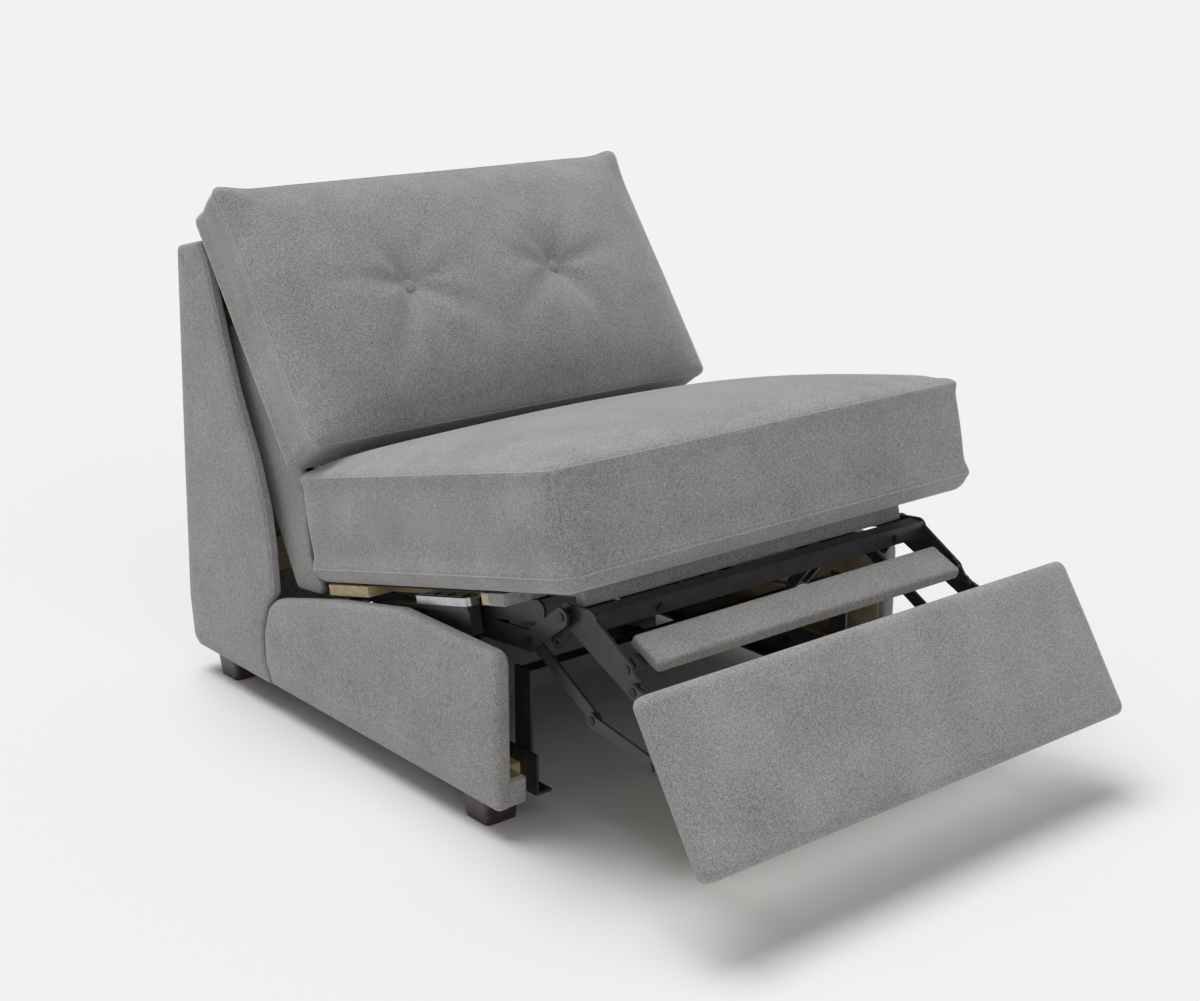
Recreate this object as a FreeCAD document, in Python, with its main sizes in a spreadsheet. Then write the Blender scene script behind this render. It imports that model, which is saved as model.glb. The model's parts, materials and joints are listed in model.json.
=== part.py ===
"""Armless power recliner, drawn partly reclined with its footrest half out.

Millimetres, +Z up, the sitter faces -Y and the width lies along X.
Positions along the chair are given as a distance forward of the foot of the back shell.
"""
import FreeCAD, Part
import math
import os
import re

import Sketcher

V = FreeCAD.Vector
X_AXIS = V(1, 0, 0)

# Driving dimensions: name, value and what it is.
SIZES = {
    "origin_f": (697, "origin, forward of the foot of the back shell"),
    "half_width": (450, "half of the overall width"),
    "floor_gap": (50, "underside of the base above the floor"),
    "skin_gap": (0.3, "clearance between pieces that only touch"),
    # back shell
    "shell_height": (827, "top front edge of the shell"),
    "shell_wall": (22, "thickness of the shell sides"),
    "shell_bulge": (32, "how far the padded rear bulges out"),
    "shell_top_depth": (82, "depth of the top rail"),
    "shell_rail": (40, "height of the top rail"),
    "shell_inner_f": (3, "inner face of the rear panel"),
    "shell_foot_f": (257, "front of the shell side at its foot"),
    "shell_soft": (7, "edge rounding of the padded shell"),
    # side panels
    "panel_thick": (32, "thickness of a padded side panel"),
    "panel_front_f": (937, "front end of the side panels"),
    "panel_top": (309, "level top edge of the side panels"),
    "panel_rise_f": (676, "where the top edge turns level"),
    "panel_rear_top": (219, "top edge at the rear end"),
    "toe_width": (60, "width of the turned-in toe at the foot of a panel"),
    "toe_height": (47, "height of the toe"),
    "liner_thick": (3, "inner board on a side panel"),
    # feet
    "foot_top": (70, "side of a foot where it meets the base"),
    "foot_taper": (5.7, "slope of a foot's sides, degrees"),
    "foot_round": (9, "corner rounding of the feet"),
    "foot_front_f": (849.5, "centre of the front feet"),
    "foot_rear_f": (63.5, "centre of the rear feet"),
    "foot_in": (20, "a foot's outer face inside the overall width"),
    # steel planes, measured from the middle of the chair to the middle of each plate
    "steel": (5, "thickness of the linkage plates"),
    "web_in": (90.5, "base rail web and main arm plane, inside the overall width"),
    "swing_in": (83.5, "swing link, rear link and upper link plane, inside the overall width"),
    "plate_in": (76.5, "seat plate and lower link plane, inside the overall width"),
    "outer_in": (69.5, "back bracket and board bracket plane, inside the overall width"),
    "inner_in": (97.5, "middle pad bracket plane, inside the overall width"),
    "pin_radius": (4, "radius of the pivot pins"),
    "pin_play": (0.08, "radial clearance of a pin in its hole"),
    "pin_head": (7, "radius of a pin's head"),
    "head_thick": (1.6, "thickness of a pin's head"),
    "link_width": (26, "width of the links"),
    # base frame
    "rail_low": (50.3, "underside of the base rails"),
    "rail_top": (118, "top of the rail web"),
    "rail_flange": (30, "width of the rail's foot flange"),
    "rail_rear_f": (3.3, "rear end of the base rails"),
    "rail_front_f": (925, "front end of the base rails"),
    "front_tube_f": (885, "front cross tube of the base"),
    "front_tube_z": (235, "height of the front cross tube"),
    "tube_side": (28, "side of the square tubes"),
    "tube_wall": (2, "wall of the square tubes"),
    "rear_tube_f": (150, "rear cross tube of the base"),
    # swing link pivots
    "front_swing_f": (753, "foot of the front swing link"),
    "front_swing_z": (86, "height of that pivot"),
    "rear_swing_f": (355, "foot of the rear swing link"),
    "rear_swing_z": (82, "height of that pivot"),
    "seat_front_f": (784, "head of the front swing link"),
    "seat_front_z": (302, "height of that pivot"),
    "seat_rear_f": (441, "head of the rear swing link"),
    "seat_rear_z": (264, "height of that pivot"),
    # seat
    "seat_pitch": (13.3, "slope of the seat, degrees"),
    "deck_f": (436, "rear end of the seat boards"),
    "deck_z": (283, "top of the seat boards at that end"),
    "board_thick": (18, "thickness of the seat boards"),
    "board_length": (508, "length of the side boards"),
    "board_gap": (25, "outer edge of the side boards, inside the overall width"),
    "board_inset": (105, "inner edge of the side boards, inside the overall width"),
    "board_start": (100, "inner strip of the boards starts behind this, clear of the links"),
    "wire_radius": (1.9, "radius of the spring wire"),
    "wire_end": (2.2, "middle of a spring's end wire from the board it is clipped to"),
    "cloth": (2, "thickness of deck and dust cloths"),
    "cushion_gap": (7, "half width of the seat cushion, inside the overall width"),
    "cushion_rear": (30, "cushion behind the seat boards"),
    "cushion_length": (722, "length of the seat cushion"),
    "seam_low": (29, "lower seam above the seat boards"),
    "boxing": (155, "height of the cushion's boxing band"),
    "cushion_crown": (42, "crown of the seat cushion"),
    "seat_tube_f": (500, "rear cross tube of the seat"),
    "seat_tube_z": (257, "height of that tube"),
    "fore_tube_f": (860, "front cross tube of the seat"),
    "fore_tube_z": (336, "height of that tube"),
    "apron_height": (34, "height of the fabric strip under the seat front"),
    "apron_gap": (102, "half width of that strip, inside the overall width"),
    # back
    "back_lean": (35.6, "lean of the back from upright, degrees"),
    "back_f": (355, "foot of the back cushion's rear face"),
    "back_z": (455, "height of that edge"),
    "back_gap": (3, "half width of the back cushion, inside the overall width"),
    "back_length": (500, "length of the back cushion"),
    "back_boxing": (108, "thickness of the back cushion at its edge"),
    "back_crown": (46, "crown of the back cushion"),
    "tuft_x": (160, "tuft buttons from the middle"),
    "tuft_up": (262, "tuft buttons above the foot of the cushion"),
    "tuft_depth": (30, "depth of the tufts"),
    "button_radius": (13, "radius of a tuft button"),
    "frame_depth": (40, "depth of the back frame"),
    "frame_low": (8, "foot of the back frame above the cushion's foot"),
    "frame_top": (286, "top of the back frame above the cushion's foot"),
    "frame_gap": (72.3, "half width of the back frame, inside the overall width"),
    "frame_bar": (33, "width of the frame's posts and rails"),
    "back_pivot_f": (375, "pivot of the back on the seat plates"),
    "back_pivot_z": (282, "height of that pivot"),
    "wing_gap": (41, "outer face of the wings, inside the overall width"),
    "wing_thick": (12, "thickness of the wings"),
    # footrest linkage pivots
    "arm_f": (1006, "head of the main arm"),
    "arm_z": (373, "height of that pivot"),
    "arm_tip_f": (1161, "tip of the main arm"),
    "arm_tip_z": (301, "height of that pivot"),
    "arm_tail_f": (980, "tail of the main arm"),
    "arm_tail_z": (326, "height of the tail"),
    "arm_width": (36, "width of the main arm"),
    "rear_head_f": (929, "head of the rear link"),
    "rear_head_z": (314, "height of that pivot"),
    "knee_f": (1077, "joint of the rear and lower links"),
    "knee_z": (231, "height of that pivot"),
    "upper_eye_f": (1269, "upper pivot on the board bracket"),
    "upper_eye_z": (268, "height of that pivot"),
    "lower_eye_f": (1218, "lower pivot on the board bracket"),
    "lower_eye_z": (207, "height of that pivot"),
    "slot_play": (1.6, "radial play of the lower link's last pivot"),
    "swing_play": (3.2, "radial play at the head of the rear swing link"),
    "torque_f": (1055, "torque tube between the main arms"),
    "torque_z": (378, "height of that tube"),
    # footrest board
    "rest_f": (1345, "middle of the footrest pad"),
    "rest_z": (241, "height of its middle"),
    "rest_lean": (33, "lean of the pad from upright, degrees"),
    "rest_half": (460, "half width of the pad"),
    "rest_height": (266, "height of the pad"),
    "rest_thick": (32, "thickness of the pad"),
    "rest_round": (13, "edge rounding of the pad"),
    "rest_board": (10, "thickness of the board behind the pad"),
    "hinge_up": (105, "board hinge above the middle of the pad"),
    "hinge_back": (36, "board hinge behind the middle of the pad"),
    # middle pad
    "flap_pin_f": (1140, "pivot of the middle pad on the main arm"),
    "flap_pin_z": (328, "height of that pivot"),
    "flap_f": (1143, "middle of the middle pad"),
    "flap_z": (346, "height of its middle"),
    "flap_slope": (24, "slope of the pad down to the front, degrees"),
    "flap_gap": (120, "half width of the middle pad, inside the overall width"),
    "flap_depth": (68, "depth of the middle pad, front to rear"),
    "flap_thick": (20, "thickness of the middle pad"),
    # control panel
    "panel_inset": (55.5, "middle of the control panel, inside the overall width"),
    "rim_length": (150, "length of the panel's rim"),
    "rim_width": (31, "width of the panel's rim"),
    "key_length": (30, "length of a button"),
    "key_width": (15, "width of a button"),
    "key_pitch": (40, "spacing of the buttons"),
    "key_rise": (2.5, "height of a button above the rim"),
    # actuators
    "drive_x": (100, "actuators from the middle of the chair"),
    "lift_rear_f": (548, "rear pin of the footrest actuator"),
    "lift_rear_z": (262, "height of that pin"),
    "lift_front_f": (1026, "front pin of the footrest actuator"),
    "lift_front_z": (328, "height of that pin"),
    "push_front_f": (846, "front pin of the recline actuator"),
    "push_front_z": (235, "height of that pin"),
    "push_rear_f": (500, "rear pin of the recline actuator"),
    "push_rear_z": (222, "height of that pin"),
    "jacket_radius": (17, "radius of an actuator's outer tube"),
    "rod_radius": (9, "radius of an actuator's rod"),
    "motor_radius": (23, "radius of a motor"),
    "motor_length": (105, "length of a motor"),
    "box_side": (46, "side of a gearbox"),
    "eye_width": (20, "width of the eyes at a drive's ends"),
}

doc = FreeCAD.newDocument("armless_recliner")
sheet = doc.addObject("Spreadsheet::Sheet", "Sizes")
for row, (word, (number, note)) in enumerate(SIZES.items(), start=1):
    sheet.set(f"A{row}", str(number))
    sheet.set(f"B{row}", note)
    sheet.setAlias(f"A{row}", word)
doc.recompute()

# Places across the chair, each kept at its own distance inside the overall width.
INWARD = {
    "web_x": "web_in", "swing_x": "swing_in", "plate_x": "plate_in",
    "outer_x": "outer_in", "inner_x": "inner_in", "board_out": "board_gap",
    "board_in": "board_inset", "cushion_half": "cushion_gap", "apron_half": "apron_gap",
    "back_half": "back_gap", "frame_half": "frame_gap", "wing_out": "wing_gap",
    "flap_half": "flap_gap", "panel_x": "panel_inset",
}

WORD = re.compile(r"[a-z_]+")
NODES = []


def cell(match):
    """The sheet's cell for a word, or the half width less the cell of an inward place."""
    word = match.group()
    if word in INWARD:
        return f"(Sizes.half_width - Sizes.{INWARD[word]})"
    return f"Sizes.{word}" if word in SIZES else word


def ref(text):
    """Put the sheet's cells in place of the words of an expression."""
    return WORD.sub(cell, str(text))


def val(text):
    """Work out an expression of the sheet's words as a number."""
    return float(sheet.evalExpression(ref(text)))


def at(forward, height):
    """A point of a side view, given forward of the shell's foot and above the floor."""
    return (f"origin_f - ({forward})", f"({height})")


def node(obj):
    """Record a finished sub-part."""
    NODES.append(obj)
    return obj


def place(obj, frame):
    """Bind an object's placement to a frame: forward, height and turn about X in degrees."""
    forward, height, turn = frame
    obj.Placement = FreeCAD.Placement(V(), FreeCAD.Rotation(X_AXIS, 1))
    obj.setExpression("Placement.Base.y", ref(f"origin_f - ({forward})"))
    obj.setExpression("Placement.Base.z", ref(height))
    obj.setExpression("Placement.Rotation.Angle", ref(turn))


def new_body(name, frame=None):
    """Start a body, in the chair's frame or in one of its own."""
    body = doc.addObject("PartDesign::Body", name)
    body.Label = name
    if frame:
        place(body, frame)
    return body


def new_sketch(body, role, offset):
    """Attach a sketch to one of the body's own planes, moved along its normal."""
    plane = [o for o in body.Origin.OriginFeatures if o.Role == role][0]
    sketch = body.newObject("Sketcher::SketchObject", "outline")
    sketch.AttachmentSupport = [(plane, "")]
    sketch.MapMode = "FlatFace"
    sketch.setExpression("AttachmentOffset.Base.z", ref(offset))
    return sketch


def bind_point(sketch, item, place_on_item, point):
    """Tie one point of a sketch to two expressions."""
    for kind, text in zip(("DistanceX", "DistanceY"), point):
        index = sketch.addConstraint(
            Sketcher.Constraint(kind, -1, 1, item, place_on_item, val(text)))
        sketch.setExpression(f"Constraints[{index}]", ref(text))


def draw_polygon(sketch, points):
    """Draw a closed outline through bound points."""
    spots = [V(val(a), val(b), 0) for a, b in points]
    first = sketch.GeometryCount
    count = len(spots)
    for i in range(count):
        sketch.addGeometry(Part.LineSegment(spots[i], spots[(i + 1) % count]))
    for i in range(count):
        sketch.addConstraint(
            Sketcher.Constraint("Coincident", first + i, 2, first + (i + 1) % count, 1))
    for i, point in enumerate(points):
        bind_point(sketch, first + i, 1, point)


def draw_circle(sketch, point, radius):
    """Draw a circle with a bound centre and radius."""
    centre = V(val(point[0]), val(point[1]), 0)
    item = sketch.addGeometry(Part.Circle(centre, V(0, 0, 1), val(radius)))
    bind_point(sketch, item, 3, point)
    index = sketch.addConstraint(Sketcher.Constraint("Radius", item, val(radius)))
    sketch.setExpression(f"Constraints[{index}]", ref(radius))


def add_pad(body, middle, width, draw):
    """Pad whatever draw() puts in a side-view sketch, equally to both sides of middle."""
    sketch = new_sketch(body, "YZ_Plane", middle)
    draw(sketch)
    pad = body.newObject("PartDesign::Pad", "pad")
    pad.Profile = sketch
    pad.SideType = "Symmetric"
    pad.setExpression("Length", ref(width))
    return pad


def add_cut(body, middle, width, draw):
    """Cut whatever draw() puts in a side-view sketch, equally to both sides of middle."""
    sketch = new_sketch(body, "YZ_Plane", middle)
    draw(sketch)
    cut = body.newObject("PartDesign::Pocket", "cut")
    cut.Profile = sketch
    cut.SideType = "Symmetric"
    cut.setExpression("Length", ref(width))
    return cut


def prism(name, slabs, frame=None, discs=(), holes=()):
    """Build a piece from side-view outlines, each (middle, width, points), with round eyes
    and pin holes, both (middle, width, point, radius)."""
    body = new_body(name, frame)
    for middle, width, points in slabs:
        add_pad(body, middle, width, lambda s, p=points: draw_polygon(s, p))
    for middle, width, point, radius in discs:
        add_pad(body, middle, width, lambda s, p=point, r=radius: draw_circle(s, p, r))
    for middle, width, point, radius in holes:
        add_cut(body, middle, width, lambda s, p=point, r=radius: draw_circle(s, p, r))
    return node(body)


def soften(body, radius, pick):
    """Round the edges of a body's last feature that pick() chooses."""
    doc.recompute()
    base = body.Tip
    names = [f"Edge{i}" for i, e in enumerate(base.Shape.Edges, start=1) if pick(e)]
    fillet = body.newObject("PartDesign::Fillet", "soft_edge")
    fillet.Base = (base, names)
    fillet.setExpression("Radius", ref(radius))
    return fillet


def rectangle(y0, z0, y1, z1):
    """Corners of an upright rectangle in a side view."""
    return [(y0, z0), (y1, z0), (y1, z1), (y0, z1)]


def strap(start, end, width):
    """Corners of a straight bar between two side-view points (forward, height)."""
    (f0, z0), (f1, z1) = start, end
    run, rise = f"(({f1}) - ({f0}))", f"(({z1}) - ({z0}))"
    size = f"sqrt({run}^2 + {rise}^2)"
    across_f = f"(-{rise} / {size} * {width} / 2)"
    across_z = f"({run} / {size} * {width} / 2)"
    return [at(f"{f0} + {across_f}", f"{z0} + {across_z}"),
            at(f"{f1} + {across_f}", f"{z1} + {across_z}"),
            at(f"{f1} - {across_f}", f"{z1} - {across_z}"),
            at(f"{f0} - {across_f}", f"{z0} - {across_z}")]


def link(name, side, plane, bars, eyes):
    """Build a flat linkage plate: bars (start, end, width), eyes (point, radius, hole)."""
    middle = f"{side} * {plane}"
    slabs = [(middle, "steel", strap(*bar)) for bar in bars]
    discs = [(middle, "steel", at(*point), radius) for point, radius, hole in eyes]
    holes = [(middle, "2 * steel", at(*point), hole) for point, radius, hole in eyes if hole]
    return prism(name, slabs, discs=discs, holes=holes)


def cylinder_x(x0, x1, forward, height, radius):
    """Make a cylinder that runs across the chair from x0 to x1."""
    rod = doc.addObject("Part::Cylinder", "round")
    rod.Placement = FreeCAD.Placement(V(), FreeCAD.Rotation(V(0, 1, 0), 90))
    rod.setExpression("Placement.Base.x", ref(x0))
    rod.setExpression("Placement.Base.y", ref(f"origin_f - ({forward})"))
    rod.setExpression("Placement.Base.z", ref(height))
    rod.setExpression("Height", ref(f"({x1}) - ({x0})"))
    rod.setExpression("Radius", ref(radius))
    return rod


def fused(pieces, name="joined"):
    """Fuse primitives into one solid."""
    if len(pieces) == 1:
        return pieces[0]
    joined = doc.addObject("Part::MultiFuse", name)
    joined.Shapes = pieces
    return joined


def group(name, solids):
    """Gather separate solids, such as pins of one kind, into one node."""
    bundle = doc.addObject("Part::Compound", name)
    bundle.Label = name
    bundle.Links = solids
    return node(bundle)


def pin(side, low_x, high_x, point, spacer=None, flush=False):
    """Make a headed pin through the plates between low_x and high_x, with an optional
    spacer sleeve (from, to, radius) between two plates that stand apart. A flush pin has
    no inner head."""
    forward, height = point
    reach = [(high_x, f"{high_x} + head_thick", "pin_head")]
    if flush:
        reach.append((low_x, f"{high_x} + head_thick", "pin_radius"))
    else:
        reach.append((f"{low_x} - head_thick", f"{high_x} + head_thick", "pin_radius"))
        reach.append((f"{low_x} - head_thick", low_x, "pin_head"))
    if spacer:
        reach.append(spacer)
    parts = []
    for inner, outer, radius in reach:
        ends = (inner, outer) if side > 0 else (f"-({outer})", f"-({inner})")
        parts.append(cylinder_x(*ends, forward, height, radius))
    return fused(parts)


def square_tube(name, half_length, forward, height):
    """Build a hollow square tube across the chair."""
    side, wall = "tube_side", "tube_wall"
    low, high = f"-{side} / 2", f"{side} / 2"
    inner_low, inner_high = f"-{side} / 2 + {wall}", f"{side} / 2 - {wall}"
    body = new_body(name, (forward, height, "0"))
    length = f"2 * {half_length}"
    add_pad(body, "0", length, lambda s: draw_polygon(s, rectangle(low, low, high, high)))
    bore = rectangle(inner_low, inner_low, inner_high, inner_high)
    add_cut(body, "0", f"{length} + 2", lambda s: draw_polygon(s, bore))
    return node(body)


def sides():
    """The two sides of the chair: word and sign."""
    return (("left", -1), ("right", 1))


def plane_edge(plane, outward):
    """Face of a linkage plate, on its outer (1) or inner (-1) side."""
    return f"({plane} + {outward} * steel / 2)"


# Back shell: a padded rear panel with its top rail, between two padded sides.
def build_shell():
    """Build the fixed outer back."""
    rear = [at("-4", "floor_gap"), at("-23", "floor_gap + 14"), at("-shell_bulge", "144"),
            at("-22", "347"), at("-19", "408"), at("4", "shell_height - 28"),
            at("7", "shell_height - 17")]
    cavity = [at("shell_top_depth - 4", "shell_height - 1"),
              at("shell_top_depth + 2", "shell_height - shell_rail"),
              at("shell_inner_f + 24", "shell_height - shell_rail"),
              at("shell_inner_f", "408"), at("shell_inner_f", "floor_gap")]
    width = "2 * (half_width - shell_wall - skin_gap)"
    prism("shell_rear_panel", [("0", width, rear + cavity)])
    for word, sign in sides():
        slope = [at("shell_top_depth", "shell_height"), at("105", "790"), at("140", "684"),
                 at("180", "575"), at("236", "462"), at("266", "378"), at("276", "308"),
                 at("280", "panel_rear_top + 10"), at("shell_foot_f", "200"),
                 at("shell_foot_f - 20", "148"), at("shell_foot_f - 20", "91"),
                 at("shell_foot_f", "floor_gap")]
        middle = f"{sign} * (half_width - shell_wall / 2)"
        shell = prism(f"shell_side_{word}", [(middle, "shell_wall", rear + slope)])
        outer = sign * val("half_width")
        soften(shell, "shell_soft", lambda e: all(abs(v.X - outer) < 1e-3 for v in e.Vertexes))
    # Cross rails of wood stiffen the shell and carry the rear ends of the base rails.
    upper = "(shell_height - 207)"
    for name, low, deep in (("shell_lower_rail", "170", "22"), ("shell_upper_rail", upper, "18")):
        back = "shell_inner_f + skin_gap" if name == "shell_lower_rail" else "shell_inner_f + 19"
        bar = [at(back, low), at(f"{back} + {deep}", low), at(f"{back} + {deep}", f"{low} + 70"),
               at(back, f"{low} + 70")]
        prism(name, [("0", width + " - 2 * skin_gap", bar)])


# Side panels: padded boards with a toe turned in at the foot, and a pale inner board.
def build_side_panels():
    """Build the two side panels with their liners."""
    outline = [at("shell_foot_f + 4", "floor_gap"), at("panel_front_f", "floor_gap"),
               at("panel_front_f", "panel_top"), at("panel_rise_f", "panel_top"),
               at("479", "panel_top - 40"), at("287", "panel_rear_top"),
               at("shell_foot_f + 4", "panel_rear_top - 20"),
               at("shell_foot_f - 16.5", "148"), at("shell_foot_f - 16.5", "91")]
    for word, sign in sides():
        middle = f"{sign} * (half_width - panel_thick / 2)"
        toe_middle = f"{sign} * (half_width - (toe_width + panel_thick) / 2 + 1)"
        toe = rectangle("origin_f - (panel_front_f - 6)", "floor_gap",
                        "origin_f - (shell_foot_f + 4)", "floor_gap + toe_height")
        panel = prism(f"side_panel_{word}", [(middle, "panel_thick", outline),
                                             (toe_middle,
                                              "toe_width - panel_thick + 2", toe)])
        outer = sign * val("half_width")
        soften(panel, "shell_soft + 1",
               lambda e: all(abs(v.X - outer) < 1e-3 for v in e.Vertexes))
        liner_middle = f"{sign} * (half_width - panel_thick - liner_thick / 2 - skin_gap)"
        board = [at("shell_foot_f + 30", "floor_gap + toe_height + 1"),
                 at("panel_front_f - 14", "floor_gap + toe_height + 1"),
                 at("panel_front_f - 14", "panel_top - 14"), at("panel_rise_f", "panel_top - 14"),
                 at("479", "panel_top - 54"), at("shell_foot_f + 30", "panel_rear_top - 14")]
        prism(f"side_liner_{word}", [(liner_middle, "liner_thick", board)])


# Feet: tapered square blocks with rounded corners.
def build_feet():
    """Build the four feet as separate nodes."""
    for word, sign in sides():
        for end, centre in (("front", "foot_front_f"), ("rear", "foot_rear_f")):
            body = new_body(f"foot_{end}_{word}")
            sketch = new_sketch(body, "XY_Plane", "floor_gap - skin_gap")
            x_mid = f"{sign} * (half_width - foot_in - foot_top / 2)"
            near, far = f"{x_mid} - foot_top / 2", f"{x_mid} + foot_top / 2"
            y_low = f"origin_f - {centre} - foot_top / 2"
            y_high = f"origin_f - {centre} + foot_top / 2"
            draw_polygon(sketch, rectangle(near, y_low, far, y_high))
            pad = body.newObject("PartDesign::Pad", "pad")
            pad.Profile = sketch
            pad.Reversed = True
            pad.setExpression("Length", ref("floor_gap - skin_gap"))
            pad.setExpression("TaperAngle", ref("-foot_taper"))
            node(body)
            soften(body, "foot_round", lambda e: abs(e.tangentAt(e.FirstParameter).z) > 0.9)


# Base frame: angle rails joined by cross tubes, with uprights for the front tube.
def build_base():
    """Build the steel base and the blocks that join it to panels and shell."""
    for word, sign in sides():
        web = rectangle("origin_f - rail_front_f", "rail_low", "origin_f - rail_rear_f",
                        "rail_top")
        flange = rectangle("origin_f - rail_front_f", "rail_low", "origin_f - rail_rear_f",
                           "rail_low + steel")
        middle = f"{sign} * web_x"
        flange_middle = f"{sign} * ({plane_edge('web_x', 1)} - rail_flange / 2)"
        holes = [(middle, "2 * steel", at(f"{end}_swing_f", f"{end}_swing_z"),
                  "pin_radius + pin_play") for end in ("front", "rear")]
        prism(f"base_rail_{word}", [(middle, "steel", web), (flange_middle, "rail_flange",
                                                             flange)], holes=holes)
        post = rectangle("origin_f - (front_tube_f + 20)", "rail_low + steel + skin_gap",
                         "origin_f - (front_tube_f - 20)", "front_tube_z + tube_side / 2 + 3")
        post_middle = f"{sign} * ({plane_edge('web_x', -1)} - skin_gap - steel / 2)"
        prism(f"front_upright_{word}", [(post_middle, "steel", post)])
        # Wooden cleats stand between the rail and the toe of the side panel.
        inner = plane_edge("web_x", 1) + " + skin_gap"
        outer = "half_width - toe_width - skin_gap"
        cleat_middle = f"{sign} * (({inner}) + ({outer})) / 2"
        cleat_width = f"({outer}) - ({inner})"
        blocks = []
        for start, end in (("288", "324"), ("560", "660"), ("840", "884")):
            blocks.append((cleat_middle, cleat_width, rectangle(
                f"origin_f - {end}", "rail_low", f"origin_f - {start}", "rail_low + 44")))
        cleats = [prism(f"cleat_{word}_{i}", [slab]) for i, slab in enumerate(blocks)]
        for cleat in cleats:
            NODES.remove(cleat)
        group(f"base_cleats_{word}", cleats)
        block_outer = "half_width - shell_wall - skin_gap"
        block_middle = f"{sign} * (({inner}) + ({block_outer})) / 2"
        block = rectangle("origin_f - 128", "floor_gap", "origin_f - (shell_inner_f + 1)",
                          "floor_gap + 50")
        prism(f"rear_block_{word}", [(block_middle, f"({block_outer}) - ({inner})", block)])
    post_inner = f"({plane_edge('web_x', -1)} - 2 * skin_gap - steel)"
    square_tube("base_front_tube", post_inner, "front_tube_f", "front_tube_z")
    rear_half = f"({plane_edge('web_x', -1)} - skin_gap)"
    square_tube("base_rear_tube", rear_half, "rear_tube_f",
                "rail_low + steel + skin_gap + tube_side / 2")


# Swing links carry the seat plates on the base rails.
def build_swing():
    """Build the four swing links and the pins at both of their ends."""
    hole = "pin_radius + pin_play"
    for word, sign in sides():
        for end in ("front", "rear"):
            foot = (f"{end}_swing_f", f"{end}_swing_z")
            head = (f"seat_{end}_f", f"seat_{end}_z")
            play = "swing_play" if end == "rear" else "pin_play"
            link(f"{end}_swing_{word}", sign, "swing_x", [(foot, head, "link_width")],
                 [(foot, "link_width / 2", hole),
                  (head, "link_width / 2 + 1", f"pin_radius + {play}")])
    base_pins = []
    for word, sign in sides():
        for end in ("front", "rear"):
            base_pins.append(pin(sign, plane_edge("web_x", -1), plane_edge("swing_x", 1),
                                 (f"{end}_swing_f", f"{end}_swing_z"),
                                 (plane_edge("web_x", 1) + " + skin_gap",
                                  plane_edge("swing_x", -1) + " - skin_gap", "pin_head")))
    group("base_pivot_pins", base_pins)


def seat_frame():
    """Frame of the seat: origin at the rear end of the boards, turned with the seat."""
    return ("deck_f", "deck_z", "-seat_pitch")


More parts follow.
